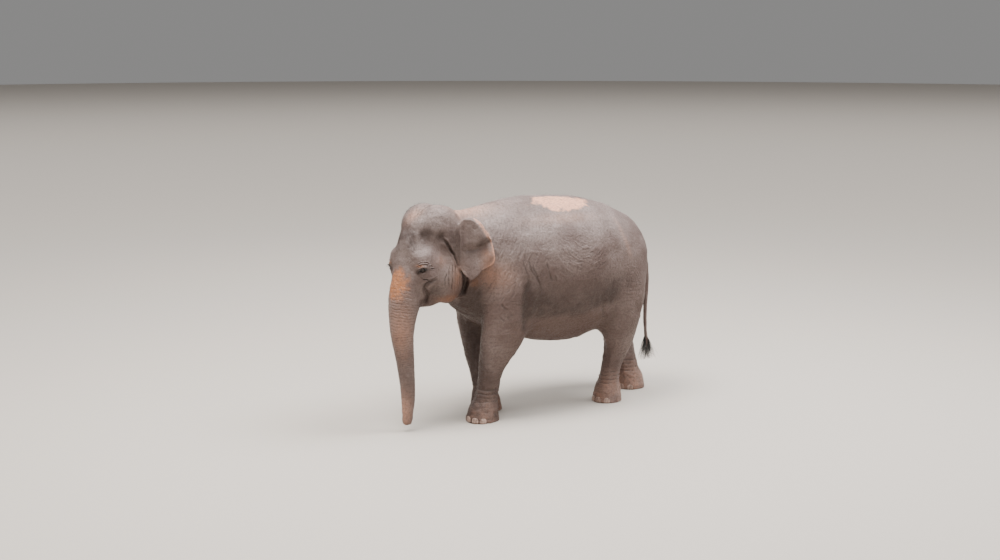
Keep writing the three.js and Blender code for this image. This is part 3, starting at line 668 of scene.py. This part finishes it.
# Painted shade in the head's hollows and folds and about the eyes
PAINTED_SHADE_HEAD = (
    (0.3, (0.01, 0.223, 0.38), (0.08, 0.09, 0.07)),  # above the temple
    (1.05, (0.075, 0.18, 0.32), (0.07, 0.08, 0.085)),  # temple, in front
    (0.95, (-0.075, 0.252, 0.305), (0.05, 0.07, 0.05)),  # temple, behind
    (0.55, (0.175, 0.0, 0.36), (0.07, 0.17, 0.075)),  # under the domes
    (0.65, (0.205, 0.11, 0.25), (0.06, 0.055, 0.12)),  # beside the face's ridge
    (0.7, (0.205, 0.04, 0.29), (0.07, 0.08, 0.12)),  # on the face's ridge
    (1.4, (0.166, 0.232, -0.01), (0.042, 0.042, 0.026)),  # lids: dark skin, and painted shade
    (1.2, (0.208, 0.195, -0.032), (0.028, 0.034, 0.022)),  # eye's inner corner
    (1.0, (0.095, 0.272, 0.003), (0.055, 0.03, 0.01)),  # eye's outer corner
    (1.0, (0.005, 0.24, -0.265), (0.095, 0.09, 0.075)),  # behind the lips
    (0.8, (0.03, 0.15, -0.36), (0.09, 0.09, 0.045)),  # side of the lower jaw
)


def mark_rust(place, beside, on_head, ear, out):
    """Freckled orange: down the front of the trunk, and small patches on the head, ears and neck."""
    wobble = 0.35 * noise(place / 0.05, 31) + 0.2 * noise(place / 0.02, 32)
    trunk = near(place, (0.33, 0.0, -0.15), (0.16, 0.16, 0.2)) * step(0.085, 0.025, place[:, 2])
    rust = step(0.28, 0.85, trunk + wobble * trunk) + forms(beside, RUST_SPOTS)
    root = step(0.03, 0.012, np.abs(out - 0.062 + 0.2 * (beside[:, 2] - 0.22))) * ear
    rust += 0.8 * root * step(0.08, 0.16, beside[:, 2]) * step(0.38, 0.3, beside[:, 2])
    rust += 0.4 * ear * near(beside, (-0.482, 0.54, 0.115), (0.05, 0.06, 0.07)) * (0.5 + wobble)
    chin = near(beside, (-0.19, 0.24, -0.35), (0.13, 0.12, 0.045))
    neck = near(beside, (-0.43, 0.345, -0.215), (0.05, 0.08, 0.065))
    return rust + 0.35 * chin * on_head + 0.7 * neck * (1 - on_head)


def mark_dust_and_painted_light(place, spot, beside, on_head, ear, out):
    """Pale and pinkish: a dusty patch on the back, the crown, the front and tip of the trunk, the ears'
    lobes and the feet; painted highlight below the back's patch, along the nape and along the ears' pale
    upper rims; and painted light on the rear of the cheek and on the neck, where the ear's shadow falls.
    """
    wobble = 0.5 * noise(spot / 0.16, 33) + 0.3 * noise(spot / 0.05, 34)
    back = near(spot, (-0.3, 0.25, 2.29), (0.43, 0.21, 0.12)) * step(0.02, 0.1, spot[:, 1])
    dust_and_painted_light = step(0.36, 0.62, back + 0.6 * wobble * step(0.05, 0.4, back))
    dust_and_painted_light += forms(spot, DUST_AND_HIGHLIGHT_SPOTS) + 0.12 * ridge(spot, RUMP_STREAK, 0.035, 1.0)
    dust_and_painted_light += 0.38 * near(place, (0.33, 0.06, -0.62), (0.11, 0.13, 0.28)) * on_head
    # Painted light on the rear of the cheek, in the ear's shadow
    dust_and_painted_light += 0.3 * near(beside, (-0.25, 0.3, -0.12), (0.08, 0.06, 0.13)) * on_head
    # Painted light on the neck, in the ear's shadow
    dust_and_painted_light += 0.25 * near(spot, (0.72, 0.43, 1.62), (0.11, 0.12, 0.14)) * (1 - on_head)
    dust_and_painted_light += 0.35 * near(place, (0.05, -0.02, 0.53), (0.12, 0.08, 0.08))
    dust_and_painted_light += 0.25 * ear * near(beside, (-0.48, 0.535, 0.02), (0.07, 0.07, 0.13))
    dust_and_painted_light += 0.34 * step(0.46, 0.08, spot[:, 2]) * (1 - on_head) * (0.6 + wobble)
    dust_and_painted_light += 0.5 * near(place, (0.24, 0.0, -1.5), (0.08, 0.08, 0.2))
    # The ears' upper rims: pale, with a painted highlight along them
    at_ear = ear > 0
    blade = np.stack([out, beside[:, 2], 0 * out], axis=1)[at_ear]
    edge = curve([(*point, 0.0) for point in EAR_EDGE], 60)
    rim = step(0.02, 0.006, from_path(blade, edge)[0]) * step(-0.06, 0.05, beside[at_ear, 2])
    dust_and_painted_light[at_ear] += 0.55 * rim
    return dust_and_painted_light


def mark_painted_shade_and_dirt(spot, beside, on_head, ear, out):
    """Painted shade: in the hollows and folds of the head, under the fold of each ear, behind the jaw,
    under the belly, on the chest, in the armpits and on sides of the body turned from the light, with dark
    skin about the eyes; and a band along the flank of painted shade and dirt.
    """
    forward, left, up = spot.T
    side = mirrored(spot)
    # A band along the lower flank: painted shade and dirt
    base = 1.09 + 0.1 * step(-0.3, -0.75, forward)
    height = up - base + 0.035 * noise(spot / 0.14, 37) + 0.012 * noise(spot / 0.04, 38)
    band = step(-0.05, 0.06, height) * step(0.5, 0.1, height) * step(0.3, 0.45, np.abs(left))
    painted_shade_and_dirt = 0.88 * band * step(0.5, 0.15, forward) * step(-1.1, -0.45, forward)
    painted_shade_and_dirt += forms(side, PAINTED_SHADE_BODY)
    painted_shade_and_dirt += 0.22 * step(1.1, 1.0, up) * step(0.5, 0.3, forward) * step(-0.95, -0.75, forward)
    painted_shade_and_dirt += 0.3 * sum(ridge(side, path, 0.012, 1.0) for path in SHOULDER_CREASES)
    painted_shade_and_dirt *= np.where(left > 0, 1.0, 0.55)  # fainter on her right
    painted_shade_and_dirt += forms(beside, PAINTED_SHADE_HEAD)
    painted_shade_and_dirt += 0.8 * near(beside, (-0.215, 0.296, 0.26), (0.07, 0.08, 0.14)) * on_head
    painted_shade_and_dirt += 0.8 * ridge(beside, CHEEK_FOLD, 0.014, 1.0)
    painted_shade_and_dirt += 1.4 * ridge(beside, JAW_GROOVE, 0.026, 1.0)
    painted_shade_and_dirt += 0.7 * ridge(beside, TEMPLE_GROOVE, 0.016, 1.0)
    above = beside[:, 2] - ear_fold(out)
    shaded = step(-0.005, 0.02, above) * step(0.13, 0.03, above)
    painted_shade_and_dirt += 0.75 * ear * shaded * step(0.12, 0.22, out)
    # Painted shade on the chest, between the forelegs, under the jaw and in the armpits
    chest = step(1.7, 1.4, up) * step(0.35, 0.6, forward) * step(0.42, 0.24, np.abs(left))
    painted_shade_and_dirt += chest * (1 - on_head)
    painted_shade_and_dirt += 1.1 * near(side, (0.88, 0.25, 1.36), (0.14, 0.13, 0.18))
    painted_shade_and_dirt += 0.6 * ridge(side, ARMPIT, 0.05, 1.0)
    return painted_shade_and_dirt * (0.9 + 0.35 * noise(spot / 0.06, 35))


def mark(mesh):
    """Where the skin is freckled, dusty or reddish, and where light and shade are painted on it, each from
    0 to 1.
    """
    positions = positions_of(mesh)
    place, spot = in_head(positions), in_body(positions)
    beside = mirrored(place)
    up = spot[:, 2]
    on_head = step(-0.47, -0.39, place[:, 0])
    ear = ear_share(place, spot)
    out = np.hypot(beside[:, 0] - EAR_ROOT[0], beside[:, 1] - EAR_ROOT[1])
    # Painted warm shade: darker and browner on the belly and towards the bottom
    belly = step(1.14, 1.04, up) * step(0.6, 0.35, np.abs(spot[:, 0] + 0.15) - 0.25)
    lower = step(2.05, 1.3, up) * (1 - 0.45 * on_head) * step(0.1, 0.4, up)
    lower *= 0.7 + 0.3 * step(0.75, 1.1, up)
    tip = near(place, (0.215, 0.0, -1.6), (0.06, 0.06, 0.13))
    values = {
        "rust": mark_rust(place, beside, on_head, ear, out),
        "dust_and_painted_light": mark_dust_and_painted_light(place, spot, beside, on_head, ear, out),
        "painted_shade_and_dirt": mark_painted_shade_and_dirt(spot, beside, on_head, ear, out),
        "painted_warm_shade_and_reddish_tip": 0.4 * belly + 0.6 * lower + 0.5 * tip,
    }
    for name, value in values.items():
        set_attribute(mesh, name, np.clip(value, 0, 1))


# ---- An unwrap of the skin: flat views of each region from six sides, packed side by side ----
def region_of(place, spot):
    """A number for each face's region, so that no view shows two surfaces at one place."""
    region = np.zeros(len(spot), int)
    forward, left, up = spot.T
    leg = (up < 1.0) & (place[:, 0] < -0.38) & (np.abs(left) > 0.02)
    region[leg] = 1 + (left[leg] > 0) + 2 * (forward[leg] > -0.3)
    region[(place[:, 0] > -0.38)] = 5
    region[(place[:, 0] > 0) & (place[:, 2] < -0.42)] = 6
    ear = (np.abs(place[:, 1]) > 0.33) & (place[:, 0] < -0.34) & (forward > 0.7) & (up > 1.5)
    region[ear] = 7 + (place[ear, 1] > 0)
    region[(forward < -1.45) & (np.abs(left) < 0.09) & (up > 0.4) & (up < 1.7)] = 9
    return region


def shelves(boxes, width):
    """A place for each box, in rows no wider than `width`, and the height of all the rows."""
    x = y = shelf = 0.0
    spots = {}
    for key, (wide, tall) in boxes:
        if x + wide > width:
            x, y, shelf = 0.0, y + shelf, 0.0
        spots[key] = (x, y)
        x, shelf = x + wide, max(shelf, tall)
    return spots, y + shelf


def add_map(mesh, places):
    layer = mesh.uv_layers.new(name="OFBake")
    layer.data.foreach_set("uv", places.astype(np.float32).ravel())


def unwrap(mesh):
    """Gives the skin its own map, and returns the map's place for each face."""
    normals = read(mesh.polygons, "normal", 3)
    centres = read(mesh.polygons, "center", 3)
    totals = read(mesh.polygons, "loop_total", kind=np.int32)
    axis = np.abs(normals).argmax(axis=1)
    facing = normals[np.arange(len(normals)), axis] > 0
    chart = region_of(in_head(centres), in_body(centres)) * 6 + axis * 2 + facing
    chart = np.repeat(chart, totals)
    corners = positions_of(mesh)[read(mesh.loops, "vertex_index", kind=np.int32)]
    flat = np.zeros((len(corners), 2))
    boxes = []
    for key in np.unique(chart):
        on = chart == key
        across = [n for n in range(3) if n != key % 6 // 2]
        flat[on] = corners[on][:, across] - corners[on][:, across].min(axis=0)
        boxes.append((key, flat[on].max(axis=0) + 0.02))
    boxes.sort(key=lambda item: -item[1][1])
    width = min(np.arange(4.0, 12.0, 0.1), key=lambda w: max(w, shelves(boxes, w)[1]))
    spots, height = shelves(boxes, width)
    for key, spot in spots.items():
        flat[chart == key] += spot
    flat /= max(width, height)
    add_map(mesh, flat)
    starts = np.concatenate([[0], np.cumsum(totals)[:-1]])
    return flat[starts]


# ---- Materials ----
def linear(colour):
    """A six-digit colour as linear light."""
    parts = [int(colour[n : n + 2], 16) / 255 for n in (0, 2, 4)]
    return [p / 12.92 if p <= 0.04045 else ((p + 0.055) / 1.055) ** 2.4 for p in parts] + [1]


class Nodes:
    """A material under construction."""

    def __init__(self, name, colour, roughness):
        self.material = bpy.data.materials.new(name)
        self.material.use_nodes = True
        self.tree = self.material.node_tree
        self.shader = self.tree.nodes["Principled BSDF"]
        self.shader.inputs["Base Color"].default_value = linear(colour)
        self.shader.inputs["Roughness"].default_value = roughness

    def add(self, kind, inputs=None, **settings):
        node = self.tree.nodes.new("ShaderNode" + kind)
        for name, value in settings.items():
            setattr(node, name, value)
        for name, value in (inputs or {}).items():
            self.feed(node.inputs[name], value)
        return node

    def feed(self, socket, value):
        if isinstance(value, bpy.types.NodeSocket):
            self.tree.links.new(value, socket)
        else:
            socket.default_value = value

    def place(self):
        return self.add("TexCoord").outputs["Object"]

    def attribute(self, name):
        return self.add("Attribute", attribute_name=name).outputs["Fac"]

    def noise(self, scale, detail=3.0, place=None):
        inputs = {"Scale": scale, "Detail": detail, "Vector": place or self.place()}
        return self.add("TexNoise", inputs).outputs["Fac"]

    def cracks(self, scale, place):
        inputs = {"Scale": scale, "Vector": place}
        node = self.add("TexVoronoi", inputs, feature="DISTANCE_TO_EDGE")
        return node.outputs["Distance"]

    def ramp(self, value, low, high, start=0.0, end=1.0):
        inputs = {"Value": value, "From Min": low, "From Max": high, "To Min": start, "To Max": end}
        return self.add("MapRange", inputs, interpolation_type="SMOOTHSTEP").outputs["Result"]

    def product(self, a, b):
        return self.add("Math", {0: a, 1: b}, operation="MULTIPLY").outputs[0]

    def mix(self, share, a, b, blend="MIX"):
        node = self.add("Mix", data_type="RGBA", blend_type=blend)
        self.feed(node.inputs[0], share)
        self.feed(node.inputs[6], a)
        self.feed(node.inputs[7], b)
        return node.outputs[2]

    def bump(self, height, distance, strength=1.0, normal=None):
        inputs = {"Height": height, "Distance": distance, "Strength": strength}
        if normal:
            inputs["Normal"] = normal
        return self.add("Bump", inputs).outputs["Normal"]


def skin_material():
    skin = Nodes("skin", "80706a", 0.62)
    place = skin.place()
    warp = skin.add("TexNoise", {"Scale": 9.0, "Detail": 2.0, "Vector": place}).outputs["Color"]
    bent = skin.add("VectorMath", {0: warp, "Scale": 0.06}, operation="SCALE").outputs[0]
    bent = skin.add("VectorMath", {0: place, 1: bent}, operation="ADD").outputs[0]
    tone = skin.mix(skin.ramp(skin.noise(3.0, 4.0), 0.32, 0.68), linear("564540"), linear("72635e"))
    tone = skin.mix(skin.ramp(skin.noise(30.0, 4.0), 0.4, 0.72, 0.0, 0.45), tone, linear("53443e"))
    # Painted warm shade on the lower body, and the trunk's reddish tip
    tone = skin.mix(skin.product(skin.attribute("painted_warm_shade_and_reddish_tip"), 0.62), tone, linear("4a3228"))
    speckle = skin.ramp(skin.noise(170.0, 2.0), 0.4, 0.58)
    patchy = skin.ramp(skin.noise(40.0, 3.0), 0.28, 0.6, 0.35, 1.0)
    freckled = skin.product(skin.attribute("rust"), skin.product(speckle, patchy))
    tone = skin.mix(skin.product(skin.attribute("rust"), 0.6), tone, linear("84502c"))
    tone = skin.mix(skin.product(freckled, 0.9), tone, linear("b5703c"))
    broken = skin.ramp(skin.noise(55.0, 5.0), 0.3, 0.55, 0.45, 1.0)
    # Dust, with painted highlight and painted light
    dust_and_light = skin.product(skin.attribute("dust_and_painted_light"), broken)
    tone = skin.mix(dust_and_light, tone, linear("c68f72"))
    # Painted shade, and dirt in the flank's band
    tone = skin.mix(skin.product(skin.attribute("painted_shade_and_dirt"), 0.85), tone, linear("28150c"))
    # Painted shade in the creases
    tone = skin.mix(skin.product(skin.attribute("crease"), 0.7), tone, linear("382c26"))
    fine = skin.cracks(70.0, bent)
    varied = skin.ramp(skin.noise(11.0, 2.0), 0.35, 0.65)
    lines = skin.product(skin.ramp(fine, 0.01, 0.1, 0.22, 0.0), varied)
    tone = skin.mix(lines, tone, linear("463a34"))
    skin.feed(skin.shader.inputs["Base Color"], tone)
    coarse = skin.cracks(26.0, bent)
    normal = skin.bump(skin.product(skin.ramp(coarse, 0.0, 0.16), varied), 0.0013)
    normal = skin.bump(skin.ramp(fine, 0.0, 0.12), 0.0007, normal=normal)
    normal = skin.bump(skin.noise(230.0, 4.0), 0.0009, normal=normal)
    skin.feed(skin.shader.inputs["Normal"], normal)
    skin.feed(skin.shader.inputs["Roughness"], skin.ramp(skin.noise(60.0, 2.0), 0.3, 0.7, 0.5, 0.75))
    return skin.material


def eye_material():
    eye = Nodes("eye", "23140c", 0.12)
    across = eye.add("VectorMath", {0: eye.place(), 1: (1, 1, 0)}, operation="MULTIPLY").outputs[0]
    radius = eye.add("VectorMath", {0: across}, operation="LENGTH").outputs["Value"]
    tone = eye.mix(eye.ramp(radius, 0.0045, 0.006), linear("030202"), linear("2a170c"))
    tone = eye.mix(eye.ramp(radius, 0.0095, 0.012), tone, linear("150d09"))
    eye.feed(eye.shader.inputs["Base Color"], tone)
    for name, value in (("Coat Weight", 0.1), ("Coat Roughness", 0.05), ("Specular IOR Level", 0.25)):
        eye.feed(eye.shader.inputs[name], value)
    return eye.material


def nail_material():
    nail = Nodes("toenail", "b7a193", 0.5)
    narrow = nail.add("Mapping", {"Vector": nail.place(), "Scale": (4, 4, 1)}).outputs[0]
    streak = nail.noise(14.0, 4.0, narrow)
    tone = nail.mix(nail.ramp(streak, 0.35, 0.65), linear("7b6357"), linear("a98f81"))
    tone = nail.mix(nail.ramp(nail.noise(40.0), 0.55, 0.75, 0.0, 0.5), tone, linear("6b574b"))
    nail.feed(nail.shader.inputs["Base Color"], tone)
    nail.feed(nail.shader.inputs["Normal"], nail.bump(streak, 0.0015))
    return nail.material


def plain_material(name, colour, roughness):
    return Nodes(name, colour, roughness).material


# ---- Eyes, toenails and bristles ----
def build_eye(name, material):
    side = 1 if name == "eye_left" else -1
    ball = bmesh.new()
    bmesh.ops.create_uvsphere(ball, u_segments=48, v_segments=32, radius=EYE_RADIUS)
    for vert in ball.verts:  # the clear front stands out a little
        vert.co.z += 0.0016 * step(0.01, 0.0, math.hypot(vert.co.x, vert.co.y)) * (vert.co.z > 0)
    eye = new_object(name + "_ball", finished(ball, name), material)
    gaze = Vector(HEAD_AXES.T @ np.array([0.45, side, -0.08])).normalized()
    place = centre_of(name) - 0.004 * side * HEAD_LEFT
    eye.matrix_world = Matrix.Translation(place) @ gaze.to_track_quat("Z", "Y").to_matrix().to_4x4()
    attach(eye, "root")
    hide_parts(name)


TOE = {"width": 0.092, "height": 0.066, "above": 0.007, "proud": 0.0075, "sunk": 0.01}
TOE_GRID = (14, 18)  # rows and columns of faces
TOE_TURNS = {"foreleg": (-62, -31, 0, 31, 62), "hindleg": (-54, -18, 18, 54)}


def nail_shell(tree, foot, degrees):
    """A domed plate on the front of a foot, bedded in its skin.

    The rays go outward from inside the foot, so that they can't meet the foot beside it.
    """
    angle = math.radians(degrees)
    size = 1 - 0.16 * abs(math.sin(angle))
    out = Vector((math.sin(angle), -math.cos(angle), 0))
    across = Vector((math.cos(angle), math.sin(angle), 0))
    rows, columns = TOE_GRID
    shells = []
    for proud in (TOE["proud"], -TOE["sunk"]):
        for i in range(rows + 1):
            v = i / rows
            half_width = TOE["width"] * size / 2 * (1 - max(0, (v - 0.25) / 0.75) ** 2.6) ** 0.5
            half_width = max(half_width, 0.004) * (0.92 + 0.08 * min(1, v / 0.2))
            for j in range(columns + 1):
                u = 2 * j / columns - 1
                height = TOE["above"] + TOE["height"] * size * v
                start = Vector((*foot, height)) + across * (half_width * u)
                hit = tree.ray_cast(start, out)[0] or start + out * 0.16
                dome = (1 - abs(u) ** 3.5) * (1 - max(0, 2 * v - 1) ** 4)
                shells.append(hit + out * (proud * dome - 0.003 if proud > 0 else proud))
    return shells


def build_nails(skin, material):
    tree = BVHTree.FromObject(skin, bpy.context.evaluated_depsgraph_get())
    shell = shell_faces(*TOE_GRID)
    points, faces = [], []
    for leg in ("foreleg_left", "foreleg_right", "hindleg_left", "hindleg_right"):
        foot = centre_of(leg + "_foot")[:2]
        for degrees in TOE_TURNS[leg.split("_")[0]]:
            faces.append(shell + len(points))
            points += nail_shell(tree, foot, degrees)
    nails = new_object("toenails", mesh_from("toenails", points, np.concatenate(faces)), material)
    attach(nails, "root")
    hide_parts(*[name for name in nodes if "_nail_" in name])


MAP_PATCH = 0.003  # side of a hair's patch on the skin's map


def hair_mesh(name, roots, directions, lengths, radii, droop, maps, segments=4):
    """Thin tapering hairs of three sides. Each bends by `droop` and has one small patch of map."""
    t = np.linspace(0, 1, segments + 1)
    down = np.array((0, 0, -1.0))
    line = roots[:, None] + directions[:, None] * (lengths[:, None] * t)[..., None]
    line += down * (droop * lengths)[:, None, None] * (t**2)[None, :, None]
    side = unit(np.cross(directions, (0.3, 0.2, 1.0)))
    other = np.cross(directions, side)
    rings = []
    for corner in range(3):
        angle = 2 * math.pi * corner / 3
        spoke = side * math.cos(angle) + other * math.sin(angle)
        width = radii[:, None] * (1 - 0.85 * t)[None, :]
        rings.append(line + spoke[:, None] * width[..., None])
    points = np.stack(rings, axis=2).reshape(-1, 3)
    ring = np.arange(segments)[:, None] * 3
    corner = np.arange(3)[None, :]
    following = (corner + 1) % 3
    quad = np.stack([ring + corner, ring + following, ring + 3 + following, ring + 3 + corner], axis=-1)
    each = 3 * (segments + 1)  # points of a hair
    first = (np.arange(len(roots)) * each)[:, None, None]
    quads = quad.reshape(-1, 4)[None] + first
    caps = [[0, 2, 1], [segments * 3, segments * 3 + 1, segments * 3 + 2]]
    ends = np.array(caps)[None] + first
    faces = quads.reshape(-1, 4).tolist() + ends.reshape(-1, 3).tolist()
    mesh = bpy.data.meshes.new(name)
    mesh.from_pydata(points.tolist(), [], faces)
    mesh.update()
    hair, within = np.divmod(read(mesh.loops, "vertex_index", kind=np.int32), each)
    patch = np.stack([within % 3 / 2, within // 3 / segments], axis=1) * MAP_PATCH
    add_map(mesh, maps[hair] + patch)
    return mesh


def upon(mesh):
    """The centres and normals of a mesh's faces."""
    return [read(mesh.polygons, name, 3).astype(float) for name in ("center", "normal")]


TUFT_HAIRS = 620


def build_tuft(skin, maps, material):
    """Coarse black hair in two rows, before and behind the end of the tail."""
    rng = np.random.default_rng(5)
    centres, normals = upon(skin.data)
    low, high = (np.array(corner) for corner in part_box("tail_tuft"))
    inside = np.all((centres > low - 0.01) & (centres < high + (0.01, 0.01, 0.03)), axis=1)
    rows = inside & (np.abs(normals[:, 1]) > 0.75) & (centres[:, 2] > low[2] + 0.06)
    faces = rng.choice(np.flatnonzero(rows), TUFT_HAIRS)
    roots = centres[faces]
    spread = rng.normal(0, 0.13, (len(faces), 3))
    directions = unit(0.34 * normals[faces] + (0, 0, -1) + spread)
    room = (roots[:, 2] - low[2]) / (0.1 - directions[:, 2])
    lengths = np.minimum(rng.uniform(0.08, 0.24, len(faces)), room)
    radii = rng.uniform(0.0007, 0.0012, len(faces))
    mesh = hair_mesh("tail_tuft", roots, directions, lengths, radii, 0.1, maps[faces], segments=6)
    tuft = new_object("tail_hair", mesh, material)
    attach(tuft, "root")
    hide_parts("tail_tuft")


# Where bristles stand: how many, the middle of the patch in the head's frame, and its radii
BRISTLES = (
    (1500, (0.02, 0.0, 0.52), (0.22, 0.26, 0.14)),  # crown
    (260, (0.13, 0.0, 0.28), (0.1, 0.16, 0.16)),  # face
    (240, (0.02, 0.0, -0.4), (0.1, 0.16, 0.06)),  # chin
    (240, (0.33, 0.0, -0.3), (0.12, 0.16, 0.4)),  # trunk
    (200, (-0.3, 0.33, 0.15), (0.04, 0.06, 0.16)),  # root of the left ear
    (200, (-0.3, -0.33, 0.15), (0.04, 0.06, 0.16)),  # root of the right ear
)
BACK_BRISTLES = 900
LASHES = 46  # of each eye


def build_bristles(skin, maps, material):
    """Sparse bristles on her head, about her ears and along her back, and her eyelashes."""
    rng = np.random.default_rng(9)
    centres, normals = upon(skin.data)
    place, spot = in_head(centres), in_body(centres)
    size = np.where(place[:, 0] > -0.4, 1.0, 4.0)  # the head's faces are a quarter of the others
    chosen = []
    for count, middle, radii in BRISTLES:
        weight = near(place, middle, radii) * size
        chosen.append(rng.choice(len(centres), count, p=weight / weight.sum()))
    weight = step(1.95, 2.25, spot[:, 2]) * (place[:, 0] < -0.45) * size
    chosen.append(rng.choice(len(centres), BACK_BRISTLES, p=weight / weight.sum()))
    faces = np.concatenate(chosen)
    backward = -HEAD_FORWARD * 0.5 + (0, 0, 0.25)
    directions = unit(0.45 * normals[faces] + backward + rng.normal(0, 0.2, (len(faces), 3)))
    lengths = rng.uniform(0.015, 0.045, len(faces))
    radii = rng.uniform(0.0003, 0.0005, len(faces))
    lid = curve(UPPER_LID, LASHES - 1)
    for side in (1, -1):
        roots = from_head((lid + (0.004, 0.004, -0.01)) * (1, side, 1))
        near_faces = [np.square(centres - root).sum(axis=1).argmin() for root in roots]
        outward = HEAD_AXES.T @ np.array((0.62, 0.75 * side, -0.45))
        sweep = np.linspace(0.35, -0.35, LASHES)[:, None] * HEAD_FORWARD
        faces = np.concatenate([faces, near_faces])
        lashes = unit(outward + sweep + rng.normal(0, 0.07, (LASHES, 3)))
        directions = np.concatenate([directions, lashes])
        lengths = np.concatenate([lengths, rng.uniform(0.022, 0.042, LASHES)])
        radii = np.concatenate([radii, np.full(LASHES, 0.0006)])
    mesh = hair_mesh("bristles", centres[faces], directions, lengths, radii, 0.15, maps[faces])
    bristles = new_object("bristles", mesh, material)
    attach(bristles, "root")


# ---- Studio ----
CAMERA = {"turn": 57.0, "away": 16.0, "height": 4.2}
SENSOR = 36.0
# As shares of the picture's width: the focal length, how far the horizon is above the picture's
# middle, and how far she stands to the right of it.
FOCAL, HORIZON, AIM = 1.5, 0.26, 0.027


def build_camera():
    turn = math.radians(CAMERA["turn"])
    pitch = math.atan(HORIZON / FOCAL)
    yaw = math.atan(AIM / FOCAL * math.cos(pitch))
    place = Vector((math.sin(turn), -math.cos(turn), 0)) * CAMERA["away"]
    place.z = CAMERA["height"]
    level = Matrix.Rotation(yaw, 3, "Z") @ Vector((-math.sin(turn), math.cos(turn), 0))
    forward = level * math.cos(pitch) - Vector((0, 0, math.sin(pitch)))
    data = bpy.data.cameras.new("camera")
    data.sensor_width = SENSOR
    data.lens = SENSOR * FOCAL
    data.clip_end = 200.0
    camera = bpy.data.objects.new("camera", data)
    right = forward.cross((0, 0, 1)).normalized()
    basis = Matrix((right, right.cross(forward), -forward)).transposed()
    camera.matrix_world = Matrix.Translation(place) @ basis.to_4x4()
    bpy.context.scene.collection.objects.link(camera)
    bpy.context.scene.camera = camera


LIGHTS = (  # name, place, size, power and colour
    ("key", (1.0, -4.0, 11.5), 5.0, 2250, (1.0, 0.97, 0.94)),
    ("sky", (2.5, 4.0, 10.5), 6.0, 1750, (0.97, 0.98, 1.0)),
    ("fill", (11.0, -8.0, 6.0), 6.0, 60, (1.0, 0.98, 0.96)),
    ("far", (-10.0, 4.0, 7.0), 7.0, 120, (0.97, 0.98, 1.0)),
    ("ceiling", (0.0, 0.1, 30.0), 120.0, 62000, (1.0, 1.0, 1.0)),
)
WORLD = {"colour": (0.96, 0.95, 0.94, 1), "strength": 0.27}
FLOOR_RADIUS = 90.0


def build_light(name, place, size, power, colour):
    data = bpy.data.lights.new(name, "AREA")
    data.shape = "DISK"
    data.size = size
    data.energy = power
    data.color = colour
    light = bpy.data.objects.new(name, data)
    light.location = place
    light.rotation_euler = (Vector((0, 0, 1.3)) - Vector(place)).to_track_quat("-Z", "Y").to_euler()
    bpy.context.scene.collection.objects.link(light)


def build_studio():
    """A plain round floor, so that its far edge has no corner, and soft lights from above."""
    turns = np.linspace(0, 2 * np.pi, 120, endpoint=False)
    rim = np.stack([np.cos(turns), np.sin(turns), 0 * turns], axis=1) * FLOOR_RADIUS
    floor = mesh_from("floor", rim, [range(len(rim))])
    new_object("floor", floor, plain_material("floor", "aea69d", 0.9))
    for light in LIGHTS:
        build_light(*light)
    world = bpy.data.worlds.new("world")
    world.use_nodes = True
    background = world.node_tree.nodes["Background"]
    background.inputs["Color"].default_value = WORLD["colour"]
    background.inputs["Strength"].default_value = WORLD["strength"]
    bpy.context.scene.world = world


# ---- The animal ----
def build_skin():
    mesh = skin_base()
    mesh.name = "skin"
    maps = unwrap(mesh)
    wrinkle(mesh)
    mark(mesh)
    skin = new_object("skin", mesh, skin_material())
    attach(skin, "root")
    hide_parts(*[name for name in nodes if is_flesh(name) or name.startswith("ear_")])
    return skin, maps


build_camera()
build_studio()
skin, maps = build_skin()
eye_look = eye_material()
for eye_name in ("eye_left", "eye_right"):
    build_eye(eye_name, eye_look)
build_nails(skin, nail_material())
hair = plain_material("hair", "120d0b", 0.5)
build_tuft(skin, maps, hair)
build_bristles(skin, maps, hair)
